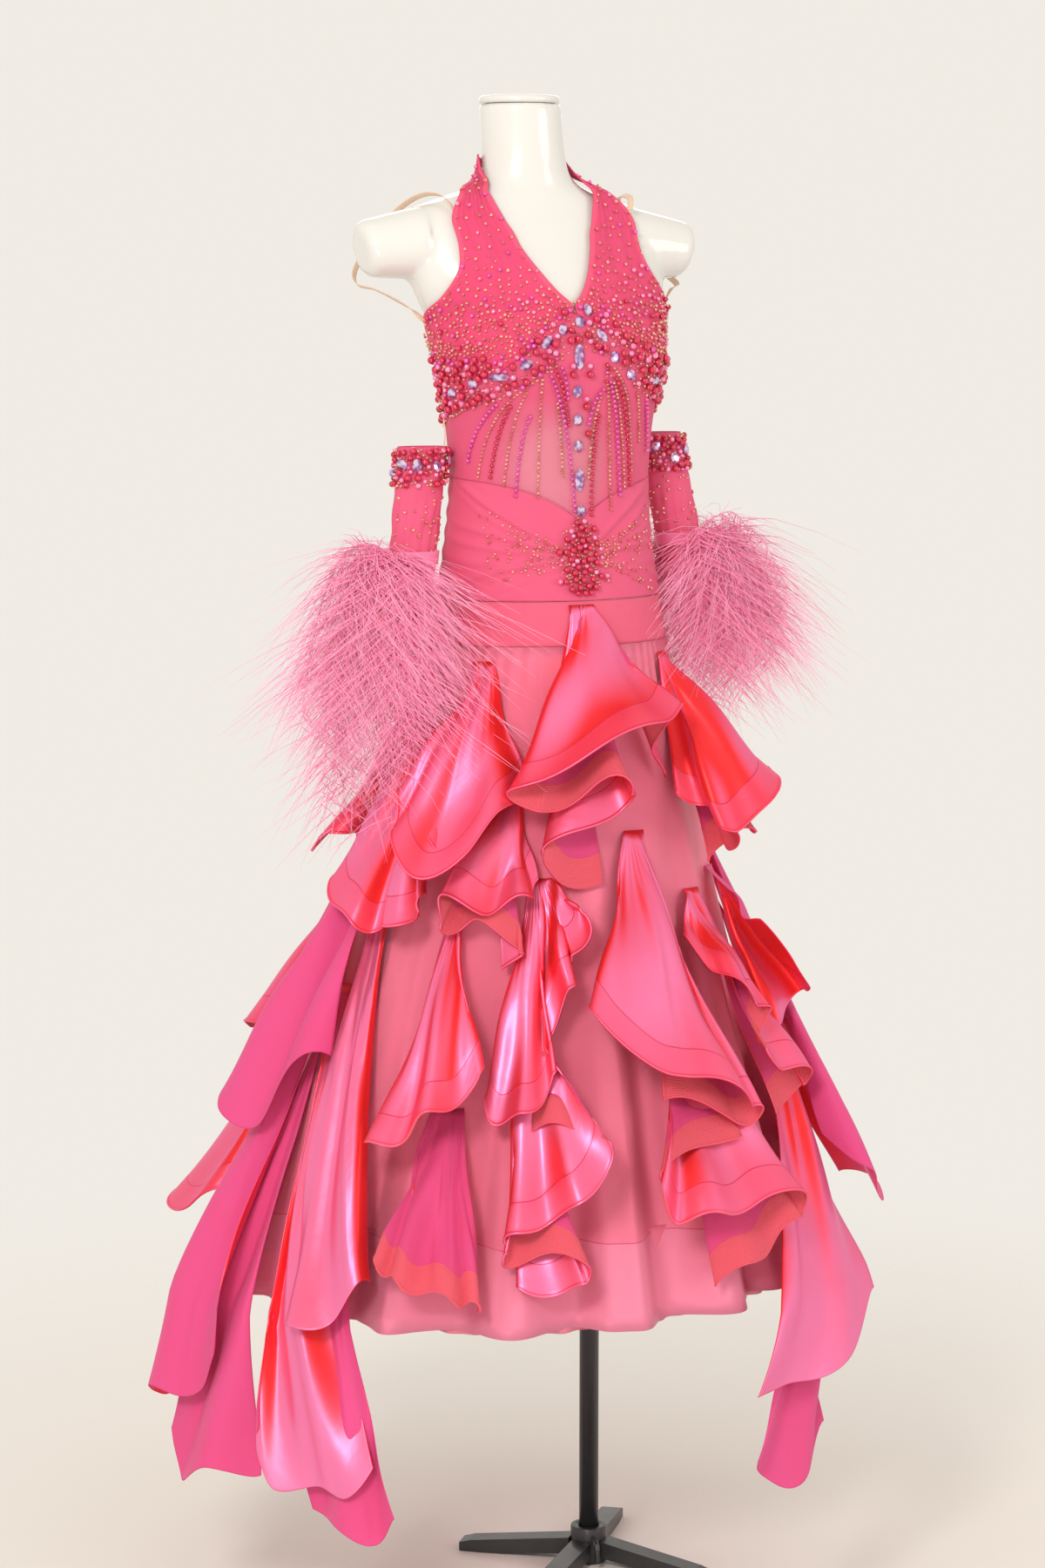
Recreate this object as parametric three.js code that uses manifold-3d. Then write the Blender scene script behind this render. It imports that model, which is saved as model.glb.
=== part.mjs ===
// Ballroom dance gown with feathered armlets, standing on a limbless dress form.
// Millimetres, +Z up. The origin is on the floor, on the axis of the stand's pole.
// The wearer faces -Y and the wearer's left is +X.
import * as THREE from 'three';
import { mergeVertices } from 'three/addons/utils/BufferGeometryUtils.js';
import Module from 'manifold-3d';

const wasm = await Module();
wasm.setup();

// Driving sizes.
const cloth = 1.5;            // wall of every cloth piece
const seamGap = 0.3;          // clearance between neighbouring pieces
const neckTop = 1800;
const neckCapHeight = 9;
const formBottom = 1000;
const yokeTop = 1212;
const yokeBottom = 1160;
const hemHeight = 400;
const skirtWaves = 16;
const shoulderCentre = -82;
const poleRadius = 12;
const hubRadius = 22.5;
const hubHeight = 46;
const poleSeat = 20;          // height of the socket's floor in the hub
const legReach = 165;
const legAngles = [55, 142, 222, 308];

const group = new THREE.Group();

const materials = {
  form: new THREE.MeshStandardMaterial({ color: 0xf4f2ee, roughness: 0.25, metalness: 0 }),
  stand: new THREE.MeshStandardMaterial({ color: 0x1c1c1e, roughness: 0.45, metalness: 0.2 }),
  mesh: new THREE.MeshStandardMaterial({ color: 0xee5a88, roughness: 0.8, metalness: 0 }),
  crepe: new THREE.MeshStandardMaterial({ color: 0xf2708c, roughness: 0.7, metalness: 0 }),
  sheer: new THREE.MeshStandardMaterial({ color: 0xf27c8c, roughness: 0.5, metalness: 0 }),
  satin: new THREE.MeshStandardMaterial({ color: 0xef4048, roughness: 0.3, metalness: 0 }),
  matte: new THREE.MeshStandardMaterial({ color: 0xe0508a, roughness: 0.8, metalness: 0 }),
  feather: new THREE.MeshStandardMaterial({ color: 0xf090c0, roughness: 0.9, metalness: 0 }),
  elastic: new THREE.MeshStandardMaterial({ color: 0xf0cdb0, roughness: 0.7, metalness: 0 }),
};

const radians = (degrees) => degrees * Math.PI / 180;
const mix = (a, b, s) => a + (b - a) * s;
const clamp = (v, low, high) => Math.min(high, Math.max(low, v));
const bell = (distance, width) => Math.exp(-((distance / width) ** 2));

// A cubic through a table's rows, read at height z for one column.
function smooth(table, key, z) {
  const last = table.length - 1;
  const at = clamp(z, table[0].z, table[last].z);
  let i = 0;
  while (i < last - 1 && at > table[i + 1].z) i += 1;
  const slope = (j) => {
    const low = table[Math.max(0, j - 1)];
    const high = table[Math.min(last, j + 1)];
    return (high[key] - low[key]) / (high.z - low.z);
  };
  const span = table[i + 1].z - table[i].z;
  const s = (at - table[i].z) / span;
  const s2 = s * s;
  const s3 = s2 * s;
  return (2 * s3 - 3 * s2 + 1) * table[i][key] + (s3 - 2 * s2 + s) * slope(i) * span
    + (3 * s2 - 2 * s3) * table[i + 1][key] + (s3 - s2) * slope(i + 1) * span;
}

// Straight lines between a table's rows.
function straight(table, key, z) {
  const last = table.length - 1;
  const at = clamp(z, table[0].z, table[last].z);
  let i = 0;
  while (i < last - 1 && at > table[i + 1].z) i += 1;
  return mix(table[i][key], table[i + 1][key], (at - table[i].z) / (table[i + 1].z - table[i].z));
}

// A Catmull-Rom curve through rows, read at u from 0 to 1 for one column.
function along(rows, key, u) {
  const spans = rows.length - 1;
  const i = Math.min(spans - 1, Math.floor(u * spans));
  const s = u * spans - i;
  const value = (j) => rows[clamp(j, 0, spans)][key];
  const [a, b, c, d] = [value(i - 1), value(i), value(i + 1), value(i + 2)];
  return 0.5 * (2 * b + (c - a) * s + (2 * a - 5 * b + 4 * c - d) * s * s
    + (3 * b - a - 3 * c + d) * s * s * s);
}

// ---- solids from grids ----

function addMesh(name, positions, triangles, material) {
  let volume = 0;
  const a = new THREE.Vector3();
  const b = new THREE.Vector3();
  const c = new THREE.Vector3();
  for (const [i, j, k] of triangles) {
    volume += a.copy(positions[i]).dot(b.copy(positions[j]).cross(c.copy(positions[k])));
  }
  const order = volume > 0 ? triangles : triangles.map(([i, j, k]) => [i, k, j]);
  const geometry = new THREE.BufferGeometry();
  geometry.setAttribute('position', new THREE.Float32BufferAttribute(
    positions.flatMap((p) => [p.x, p.y, p.z]), 3));
  geometry.setIndex(order.flat());
  return place(name, geometry, material);
}

function place(name, geometry, material) {
  geometry.computeVertexNormals();
  const mesh = new THREE.Mesh(geometry, material);
  mesh.name = name;
  group.add(mesh);
  return mesh;
}

// A closed wall around a sheet. surface(u, t) gives the sheet's middle, across by down cells,
// and relief(u, t) lifts its outer points only.
function wall({ name, surface, across, down, material, closed = false, relief = () => 0,
  thickness = cloth }) {
  const columns = closed ? across : across + 1;
  const grid = [];
  for (let j = 0; j <= down; j += 1) {
    for (let i = 0; i < columns; i += 1) grid.push(surface(i / across, j / down));
  }
  const at = (i, j) => grid[j * columns + (closed ? (i + columns) % columns : clamp(i, 0, across))];
  const outer = [];
  const inner = [];
  for (let j = 0; j <= down; j += 1) {
    for (let i = 0; i < columns; i += 1) {
      const over = at(i + 1, j).clone().sub(at(i - 1, j));
      const fall = at(i, Math.min(down, j + 1)).clone().sub(at(i, Math.max(0, j - 1)));
      const normal = over.cross(fall).normalize();
      const lift = thickness / 2 + relief(i / across, j / down);
      outer.push(at(i, j).clone().addScaledVector(normal, -lift));
      inner.push(at(i, j).clone().addScaledVector(normal, thickness / 2));
    }
  }
  const shift = outer.length;
  const triangles = [];
  const quad = (p, q, r, s) => triangles.push([p, q, r], [p, r, s]);
  const id = (i, j) => j * columns + i % columns;
  for (let j = 0; j < down; j += 1) {
    for (let i = 0; i < across; i += 1) {
      quad(id(i, j), id(i, j + 1), id(i + 1, j + 1), id(i + 1, j));
      quad(shift + id(i, j), shift + id(i + 1, j), shift + id(i + 1, j + 1), shift + id(i, j + 1));
    }
  }
  for (let i = 0; i < across; i += 1) {
    quad(id(i, 0), id(i + 1, 0), shift + id(i + 1, 0), shift + id(i, 0));
    quad(id(i, down), shift + id(i, down), shift + id(i + 1, down), id(i + 1, down));
  }
  if (!closed) {
    for (let j = 0; j < down; j += 1) {
      quad(id(0, j), shift + id(0, j), shift + id(0, j + 1), id(0, j + 1));
      quad(id(across, j), id(across, j + 1), shift + id(across, j + 1), shift + id(across, j));
    }
  }
  return addMesh(name, [...outer, ...inner], triangles, material);
}

// A closed body through rings of equal count, with flat or pointed ends.
function rings(loops) {
  const count = loops[0].length;
  const points = loops.flat();
  const triangles = [];
  for (let j = 0; j < loops.length - 1; j += 1) {
    for (let i = 0; i < count; i += 1) {
      const k = (i + 1) % count;
      const low = j * count;
      triangles.push([low + i, low + k, low + count + k], [low + i, low + count + k, low + count + i]);
    }
  }
  const top = (loops.length - 1) * count;
  for (let i = 1; i < count - 1; i += 1) {
    triangles.push([0, i + 1, i], [top, top + i, top + i + 1]);
  }
  return { points, triangles };
}

function toManifold(geometry) {
  const bare = geometry.clone();
  bare.deleteAttribute('normal');
  bare.deleteAttribute('uv');
  const merged = mergeVertices(bare, 1e-4);
  return new wasm.Manifold(new wasm.Mesh({
    numProp: 3,
    vertProperties: new Float32Array(merged.attributes.position.array),
    triVerts: new Uint32Array(merged.index.array),
  }));
}

function bodyOf({ points, triangles }) {
  const geometry = new THREE.BufferGeometry();
  geometry.setAttribute('position', new THREE.Float32BufferAttribute(
    points.flatMap((p) => [p.x, p.y, p.z]), 3));
  geometry.setIndex(triangles.flat());
  return toManifold(geometry);
}

function rod(path, radius, steps, curveSegments) {
  const section = new THREE.Shape();
  section.absarc(0, 0, radius, 0, 2 * Math.PI);
  return new THREE.ExtrudeGeometry(section, { steps, curveSegments, extrudePath: path });
}

function fromManifold(name, solid, material) {
  const mesh = solid.getMesh();
  const geometry = new THREE.BufferGeometry();
  geometry.setAttribute('position', new THREE.Float32BufferAttribute(mesh.vertProperties, 3));
  geometry.setIndex(new THREE.Uint32BufferAttribute(mesh.triVerts, 1));
  return place(name, geometry, material);
}

// ---- dress form ----

// Half width a, half depth b and centre of each section of the form, from the floor up.
const formSections = [
  { z: 1000, a: 150, b: 108, x: -56, y: 0 },
  { z: 1060, a: 157, b: 113, x: -56, y: 0 },
  { z: 1150, a: 143, b: 104, x: -56, y: 0 },
  { z: 1200, a: 134, b: 98, x: -56, y: 0 },
  { z: 1270, a: 124, b: 89, x: -56, y: 0 },
  { z: 1338, a: 118, b: 83, x: -56, y: -2 },
  { z: 1400, a: 121, b: 86, x: -57, y: -4 },
  { z: 1440, a: 126, b: 90, x: -58, y: -6 },
  { z: 1490, a: 135, b: 94, x: -60, y: -8 },
  { z: 1540, a: 146, b: 92, x: -65, y: -5 },
  { z: 1585, a: 160, b: 83, x: -71, y: 0 },
  { z: 1620, a: 166, b: 71, x: -76, y: 5 },
  { z: 1650, a: 164, b: 62, x: -79, y: 9 },
  { z: 1668, a: 144, b: 56, x: -80, y: 12 },
  { z: 1682, a: 104, b: 52, x: -80, y: 13 },
  { z: 1693, a: 70, b: 51, x: -80, y: 14 },
  { z: 1708, a: 54, b: 50, x: -81, y: 14 },
  { z: 1740, a: 49, b: 48, x: -83, y: 15 },
  { z: 1800, a: 48, b: 48, x: -87, y: 16 },
];
const bust = { z: 1492, az: 36, lift: 15, height: 46, width: 25 };

// A point on the form at azimuth az (degrees from the front towards the wearer's left).
function onForm(az, z) {
  const angle = radians(az);
  const turn = ((az + 540) % 360) - 180;
  const cup = bust.lift * bell(z - bust.z, bust.height)
    * (bell(turn - bust.az, bust.width) + bell(turn + bust.az, bust.width));
  const a = smooth(formSections, 'a', z) + cup;
  const b = smooth(formSections, 'b', z) + cup;
  return new THREE.Vector3(smooth(formSections, 'x', z) + a * Math.sin(angle),
    smooth(formSections, 'y', z) - b * Math.cos(angle), z);
}

// The same point moved out square to the form by a distance.
function offForm(az, z, distance) {
  const step = 0.5;
  const over = onForm(az + step, z).sub(onForm(az - step, z));
  const rise = onForm(az, Math.min(neckTop, z + step)).sub(onForm(az, z - step));
  return onForm(az, z).addScaledVector(over.cross(rise).normalize(), distance);
}

function buildForm() {
  const sides = 28;
  const levels = [formBottom, 1060, 1150, 1210, 1270, 1338, 1400, 1440, 1468, 1492, 1516, 1545, 1585,
    1620, 1650, 1668, 1682, 1693, 1708, 1740, neckTop - neckCapHeight - seamGap];
  const loops = levels.map((z) => Array.from({ length: sides }, (_, i) => onForm(i * 360 / sides, z)));
  let body = bodyOf(rings(loops));
  const stub = { sides: 12, x: 138, z: 1628, y: 8, reach: 70, fall: 8, radius: 45, end: 34,
    edge: 7, cant: 0.2, flat: 0.95 };
  for (const side of [-1, 1]) {
    const shoulder = [0, 0.5, 0.9, 1].map((s) => Array.from({ length: stub.sides }, (_, i) => {
      const turn = i * 2 * Math.PI / stub.sides;
      const radius = mix(stub.radius, stub.end, s) - (s === 1 ? stub.edge : 0);
      const out = stub.x + stub.reach * s + Math.sin(turn) * radius * stub.cant * s;
      return new THREE.Vector3(shoulderCentre + side * out, stub.y + Math.cos(turn) * radius,
        stub.z - stub.fall * s + Math.sin(turn) * radius * stub.flat);
    }));
    const solid = rings(side > 0 ? shoulder : shoulder.map((loop) => [...loop].reverse()));
    body = body.add(bodyOf(solid));
  }
  fromManifold('form_torso', body, materials.form);

  const capRadius = 47.5;
  const profile = [[0, 0], [capRadius, 0], [capRadius, 5], [capRadius - 4, neckCapHeight],
    [0, neckCapHeight]].map(([r, z]) => new THREE.Vector2(r, z));
  const cap = new THREE.LatheGeometry(profile, 20);
  cap.rotateX(Math.PI / 2);
  cap.translate(-87, 16, neckTop - neckCapHeight);
  fromManifold('form_neck_cap', toManifold(cap), materials.form);
}

// ---- stand ----

function lathe(name, outline, sides, material) {
  const geometry = new THREE.LatheGeometry(outline.map(([r, z]) => new THREE.Vector2(r, z)), sides);
  geometry.rotateX(Math.PI / 2);
  return fromManifold(name, toManifold(geometry), material);
}

function buildStand() {
  lathe('stand_pole', [[0, poleSeat + seamGap], [poleRadius, poleSeat + seamGap],
    [poleRadius, formBottom - seamGap], [0, formBottom - seamGap]], 16, materials.stand);
  const bore = poleRadius + seamGap;
  lathe('stand_hub', [[0, 0], [hubRadius, 0], [hubRadius, hubHeight - 2],
    [hubRadius - 2, hubHeight], [bore, hubHeight], [bore, poleSeat], [0, poleSeat]], 20,
  materials.stand);
  const leg = { root: hubRadius + 0.35, width: 26, rise: 30, toe: 11 };
  legAngles.forEach((angle, index) => {
    const side = new THREE.Shape();
    side.moveTo(leg.root, 9);
    side.lineTo(legReach - 26, 0);
    side.lineTo(legReach, 0);
    side.lineTo(legReach, leg.toe);
    side.lineTo(legReach - 14, leg.toe + 4);
    side.lineTo(leg.root, leg.rise);
    const geometry = new THREE.ExtrudeGeometry(side, { depth: leg.width, bevelEnabled: false });
    geometry.translate(0, 0, -leg.width / 2);
    geometry.rotateX(Math.PI / 2);
    geometry.rotateZ(radians(angle));
    fromManifold(`stand_leg_${index + 1}`, toManifold(geometry), materials.stand);
  });
  buildClamp();
}

// The clamp's lever leaves the middle of one of the hub's flats and bends down beside it.
const clampLever = { angle: 262, radius: 3.5, route: [
  { out: 0.1, z: 34 }, { out: 9, z: 34 }, { out: 15, z: 30 }, { out: 17, z: 22 }, { out: 18, z: 10 }] };

function buildClamp() {
  const turn = radians(clampLever.angle);
  const path = new THREE.CatmullRomCurve3(clampLever.route.map(({ out, z }) => new THREE.Vector3(
    (hubRadius + out) * Math.cos(turn), (hubRadius + out) * Math.sin(turn), z)));
  fromManifold('stand_clamp', toManifold(rod(path, clampLever.radius, 7, 4)), materials.stand);
}

// ---- bodice ----

// The halter front's two edges, from the neck down to the line under the bust: the neckline's
// azimuth and height, the armhole's, and how far the row sags between them.
const halterRows = [
  { az: 100, z: 1732, azOut: 108, zOut: 1718, sag: 0 },
  { az: 86, z: 1715, azOut: 98, zOut: 1702, sag: 0 },
  { az: 58, z: 1695, azOut: 80, zOut: 1690, sag: 0 },
  { az: 28, z: 1673, azOut: 51, zOut: 1674, sag: 0 },
  { az: 18, z: 1645, azOut: 44, zOut: 1648, sag: 0 },
  { az: 15, z: 1620, azOut: 43, zOut: 1622, sag: 0 },
  { az: 11, z: 1595, azOut: 48, zOut: 1594, sag: 0 },
  { az: 6, z: 1572, azOut: 64, zOut: 1566, sag: 4 },
  { az: 0.9, z: 1557, azOut: 92, zOut: 1540, sag: 8 },
  { az: 0.5, z: 1552, azOut: 102, zOut: 1490, sag: 20 },
  { az: 0.5, z: 1546, azOut: 106, zOut: 1440, sag: 26 },
];
const bodiceLift = 4.9;       // middle of the bodice's wall over the form
const bandRelief = 4;

function halterPoint(side, u, t) {
  const read = (key) => along(halterRows, key, t);
  const az = mix(read('az'), read('azOut'), u);
  const z = mix(read('z'), read('zOut'), u) - read('sag') * Math.sin(Math.PI * u);
  const shoulder = 2.5 * bell(z - 1690, 24);
  return offForm(side * az, z, bodiceLift + shoulder);
}

function buildBodice() {
  for (const [name, side] of [['right', -1], ['left', 1]]) {
    const beads = (u, t) => bandRelief * clamp((t - 0.84) / 0.08, 0, 1)
      * (0.75 + 0.25 * Math.cos(Math.PI * 12 * u));
    wall({
      name: `halter_front_${name}`, across: 10, down: 12, material: materials.mesh, relief: beads,
      surface: (u, t) => halterPoint(side, side > 0 ? u : 1 - u, t),
    });
  }
  const [end] = halterRows;
  const seam = 0.7;           // degrees between the band and each front
  const dipBehind = 6;
  wall({
    name: 'halter_neckband', across: 10, down: 1, material: materials.mesh,
    surface: (u, t) => {
      const edge = mix(end.az, end.azOut, t) + seam;
      const z = mix(end.z, end.zOut, t) - dipBehind * Math.sin(Math.PI * u);
      return offForm(mix(edge, 360 - edge, u), z, bodiceLift);
    },
  });

  // The sheer midriff runs from the line under the bust to the waist wrap and stops at the
  // sides, because the back is open.
  const sideAz = 106;
  wall({
    name: 'bodice_midriff', across: 28, down: 5, material: materials.mesh,
    surface: (u, t) => {
      const az = mix(-sideAz, sideAz, u);
      const top = halterLower(az) - 1.2;
      return offForm(az, mix(top, wrapTop(az) + 1.2, t), bodiceLift);
    },
    relief: (u, t) => 3.5 * bell((u - 0.5) * 2 * sideAz, 4) * (t > 0.02 ? 1 : 0),
  });
}

// Height of the halter fronts' lower edge at an azimuth.
function halterLower(az) {
  const last = halterRows[halterRows.length - 1];
  const u = clamp((Math.abs(az) - last.az) / (last.azOut - last.az), 0, 1);
  return mix(last.z, last.zOut, u) - last.sag * Math.sin(Math.PI * u);
}

// The wrap's upper edge dips to a point at the centre front.
const wrapTop = (az) => 1356 - 52 * Math.exp(-Math.abs(az) / 26);

function buildWaist() {
  const folds = 7;
  wall({
    name: 'waist_wrap', across: 32, down: 5, material: materials.mesh, closed: true, thickness: 2,
    surface: (u, t) => {
      const az = 360 * u - 180;
      return offForm(az, mix(wrapTop(az), yokeTop + seamGap, t), bodiceLift);
    },
    relief: (u, t) => {
      const front = bell(360 * u - 180, 100);
      return (t > 0 && t < 1 ? 1 : 0) * 2 * (0.5 - 0.5 * Math.cos(2 * Math.PI * folds * t * front));
    },
  });
  wall({
    name: 'hip_yoke', across: 36, down: 1, material: materials.crepe, closed: true,
    surface: (u, t) => onSkirt(360 * u - 180, mix(yokeTop, yokeBottom + seamGap, t), 0),
  });
}

// ---- skirt ----

// Half width a, half depth b and centre x of the skirt's outline over its wave crests.
const skirtSections = [
  { z: 100, a: 440, b: 415, x: -102, wave: 20 },
  { z: 400, a: 378, b: 352, x: -96, wave: 20 },
  { z: 590, a: 307, b: 275, x: -84, wave: 12 },
  { z: 790, a: 239, b: 200, x: -72, wave: 5 },
  { z: 980, a: 184, b: 143, x: -62, wave: 1 },
  { z: 1160, a: 146.5, b: 108, x: -56, wave: 0 },
  { z: 1212, a: 137.5, b: 101, x: -56, wave: 0 },
];

// A point over the skirt's crests, moved out level by a distance.
function overSkirt(az, z, out) {
  const angle = radians(az);
  const read = (key) => straight(skirtSections, key, z);
  return new THREE.Vector3(read('x') + (read('a') + out) * Math.sin(angle),
    -(read('b') + out) * Math.cos(angle), z);
}

// The underskirt itself dips between the crests, which lie at multiples of 22.5 degrees.
const dip = (az, z) => straight(skirtSections, 'wave', z) * (1 - Math.cos(radians(skirtWaves * az)));
const onSkirt = (az, z, out) => overSkirt(az, z, out - dip(az, z));

function buildSkirt() {
  const levels = [yokeBottom, 980, 790, 590, hemHeight];
  wall({
    name: 'underskirt', across: skirtWaves * 5, down: 4, material: materials.sheer, closed: true,
    surface: (u, t) => onSkirt(360 * u - 180, levels[Math.round(t * 4)], 0),
  });
  // The frill is sewn against the bottoms of the skirt's dips, as deep as its columns cut them.
  const frill = { waves: 20, top: 500, below: 6, clear: 0.8, lean: 17, deep: 7 };
  const deepest = 1 - Math.cos(radians(144));
  const frillOut = -deepest * straight(skirtSections, 'wave', frill.top) - cloth - frill.clear;
  wall({
    name: 'petticoat_frill', across: frill.waves * 3, down: 1, material: materials.sheer, closed: true,
    surface: (u, t) => overSkirt(360 * u - 180, mix(frill.top, hemHeight - frill.below, t),
      frillOut - t * (frill.lean - frill.deep * Math.sin(2 * Math.PI * frill.waves * u))),
  });
}

// ---- flounces and floats ----

// A flounce or float is cut as part of a circle: a short seam on the skirt at az and z, and a
// long hem, whose rows give azimuth, height and distance out over the skirt's crests.
const flounceRise = cloth + 0.8;

function fanPoint(fan, u, t) {
  const seamAz = fan.az + fan.spread * (u - 0.5);
  const hemAz = along(fan.hem, 'az', u);
  const hemZ = along(fan.hem, 'z', u);
  const hemOut = along(fan.hem, 'out', u);
  const az = mix(seamAz, hemAz, t ** (fan.flare ?? 0.85));
  const z = mix(fan.z, hemZ, t);
  const out = mix(flounceRise, hemOut, t ** (fan.fall ?? 1.15));
  return overSkirt(az, z, out - Math.min(dip(az, z), dip(seamAz, fan.z) * (1 - t) ** 6));
}

const hemRows = (rows) => rows.map(([az, z, out]) => ({ az, z, out }));

// az, z and spread place the seam; hem rows are [azimuth, height, out].
const flounces = {
  flounce_front_1: { az: -1, z: 1208, spread: -13, fall: 1.5, hem: hemRows([
    [31, 998, 14], [22, 1050, 32], [27, 1088, 66], [12, 1082, 96], [-5, 1058, 110], [-19, 1030, 98],
    [-28, 1000, 76], [-22, 972, 54], [-13, 992, 58], [0, 1014, 84], [6, 998, 78], [2, 978, 60],
    [-11, 952, 43], [-20, 922, 29], [-13, 896, 17], [1, 886, 9]]) },
  flounce_front_2: { az: -19, z: 896, spread: -7, hem: hemRows([
    [-10, 868, 26], [-7, 845, 46], [-11, 808, 36], [-11, 785, 48], [-15, 752, 38], [-18, 712, 32],
    [-16, 682, 48], [-22, 648, 56], [-28, 640, 44], [-30, 662, 22]]) },
  flounce_front_3: { az: -22, z: 760, spread: -5, flare: 1.1, fall: 0.8, hem: hemRows([
    [-20, 626, 30], [-13, 634, 48], [-9, 630, 64], [-6, 607, 76], [-9, 578, 74], [-13, 546, 60],
    [-19, 530, 48], [-25, 508, 38], [-24, 488, 28], [-17, 494, 34], [-11, 486, 44], [-10, 468, 34],
    [-14, 450, 20], [-22, 458, 8]]) },
  flounce_right_1: { az: -49, z: 1143, spread: -11, fall: 1.1, hem: hemRows([
    [-24, 1000, 22], [-31, 984, 70], [-38, 932, 104], [-49, 916, 108], [-59, 954, 94],
    [-62, 1000, 64], [-54, 1012, 42], [-43, 996, 44], [-39, 968, 66], [-46, 940, 80],
    [-53, 960, 74]]) },
  flounce_right_2: { az: -33, z: 1016, spread: -9, hem: hemRows([
    [-20, 892, 18], [-23, 884, 42], [-33, 870, 60], [-44, 880, 62], [-46, 846, 46], [-36, 850, 40],
    [-23, 824, 34], [-29, 792, 16]]) },
  flounce_right_3: { az: -46, z: 896, spread: -6, hem: hemRows([
    [-51, 650, 26], [-53, 608, 54], [-46, 622, 82], [-37, 660, 86], [-31, 686, 66], [-34, 702, 42],
    [-40, 688, 24]]) },
  flounce_right_4: { az: -40, z: 640, spread: 7, fall: 1, hem: hemRows([
    [-46, 505, 30], [-46, 484, 48], [-41, 466, 54], [-36, 458, 50], [-30, 446, 40],
    [-28, 440, 22]]) },
  flounce_hip_right: { az: -74, z: 1092, spread: 9, hem: hemRows([
    [-88, 905, 28], [-89, 888, 58], [-81, 864, 72], [-72, 842, 54], [-63, 838, 46], [-56, 852, 62],
    [-51, 866, 54], [-55, 884, 34], [-64, 888, 18]]) },
  flounce_left_1: { az: 51, z: 1146, spread: 11, hem: hemRows([
    [36, 985, 14], [38, 965, 46], [34, 948, 86], [42, 962, 112], [56, 1000, 116], [67, 1000, 102],
    [70, 974, 74], [61, 956, 66], [50, 940, 84], [44, 930, 64], [51, 915, 46], [57, 910, 32],
    [50, 898, 14]]) },
  flounce_left_2: { az: 16, z: 944, spread: 8, hem: hemRows([
    [-6, 768, 32], [-8, 752, 64], [3, 702, 92], [14, 676, 98], [25, 640, 86], [25, 620, 66],
    [17, 636, 50], [8, 656, 40]]) },
  flounce_left_3: { az: 40, z: 868, spread: 7, hem: hemRows([
    [27, 824, 14], [27, 790, 46], [30, 764, 72], [41, 730, 66], [37, 696, 52], [42, 664, 62],
    [53, 642, 62], [55, 620, 46], [45, 606, 28]]) },
  flounce_left_4: { az: 20, z: 742, spread: -6, hem: hemRows([
    [24, 602, 54], [12, 598, 42], [4, 562, 44], [7, 526, 52], [15, 526, 62], [24, 540, 76],
    [32, 526, 72], [35, 506, 58], [30, 482, 44], [22, 456, 28], [16, 438, 12]]) },
};

// Floats are long loose panels from the hips that fall past the hem and end in a curl.
const floats = {
  float_right_1: { az: -90, z: 1080, spread: 10, fall: 1, hem: hemRows([
    [-102, 640, 82], [-95, 602, 84], [-86, 612, 66], [-80, 668, 50], [-73, 690, 34]]) },
  float_right_2: { az: -82, z: 905, spread: 8, hem: hemRows([
    [-64, 394, 22], [-59, 400, 40], [-54, 424, 50], [-50, 446, 44], [-48, 464, 30]]) },
  float_right_3: { az: -101, z: 905, spread: 6, fall: 1, hem: hemRows([
    [-97, 282, 50], [-92, 284, 64], [-85, 290, 58], [-79, 320, 44], [-78, 345, 34]]) },
  float_right_4: { az: -90, z: 690, spread: 4, hem: hemRows([
    [-88, 236, 38], [-82, 206, 42], [-74, 214, 30], [-67, 234, 18]]) },
  float_right_5: { az: -86, z: 760, spread: 6, hem: hemRows([
    [-64, 286, 18], [-60, 226, 22], [-53, 222, 22], [-48, 230, 20], [-44, 258, 14]]) },
  float_right_6: { az: -62, z: 500, spread: 4, hem: hemRows([
    [-56, 208, 6], [-49, 175, 9], [-43, 182, 8], [-40, 194, 6]]) },
  float_left_1: { az: 63, z: 884, spread: 7, fall: 1, hem: hemRows([
    [47, 812, 52], [54, 780, 82], [61, 748, 92], [66, 724, 72], [61, 704, 50], [57, 694, 36],
    [62, 688, 24]]) },
  float_left_2: { az: 88, z: 960, spread: 8, hem: hemRows([
    [63, 560, 60], [58, 508, 96], [64, 486, 106], [73, 470, 84], [80, 480, 56]]) },
  float_left_3: { az: 86, z: 850, spread: 5, fall: 0.7, hem: hemRows([
    [19, 318, 20], [25, 310, 30], [32, 312, 38], [40, 330, 44], [49, 350, 50], [57, 370, 54]]) },
  float_left_4: { az: 66, z: 560, spread: 4, fall: 0.6, hem: hemRows([
    [18, 246, 10], [20, 216, 12], [25, 204, 14], [32, 214, 14], [39, 242, 12]]) },
};

// The columns that go round the back repeat one flounce, whose rows are measured from its seam.
const backColumns = [135, 180, -135];
const backTiers = [
  { seam: 1120, hem: 915 },
  { seam: 940, hem: 690 },
  { seam: 735, hem: 465 },
];
const backHem = [[-22, 26, 8], [-23, 6, 60], [-11, -14, 90], [2, -10, 86], [6, 4, 64], [-4, 10, 46],
  [-9, 2, 34], [3, -12, 28], [14, -4, 42], [17, 8, 70], [22, 16, 50], [20, 30, 10]];

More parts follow.
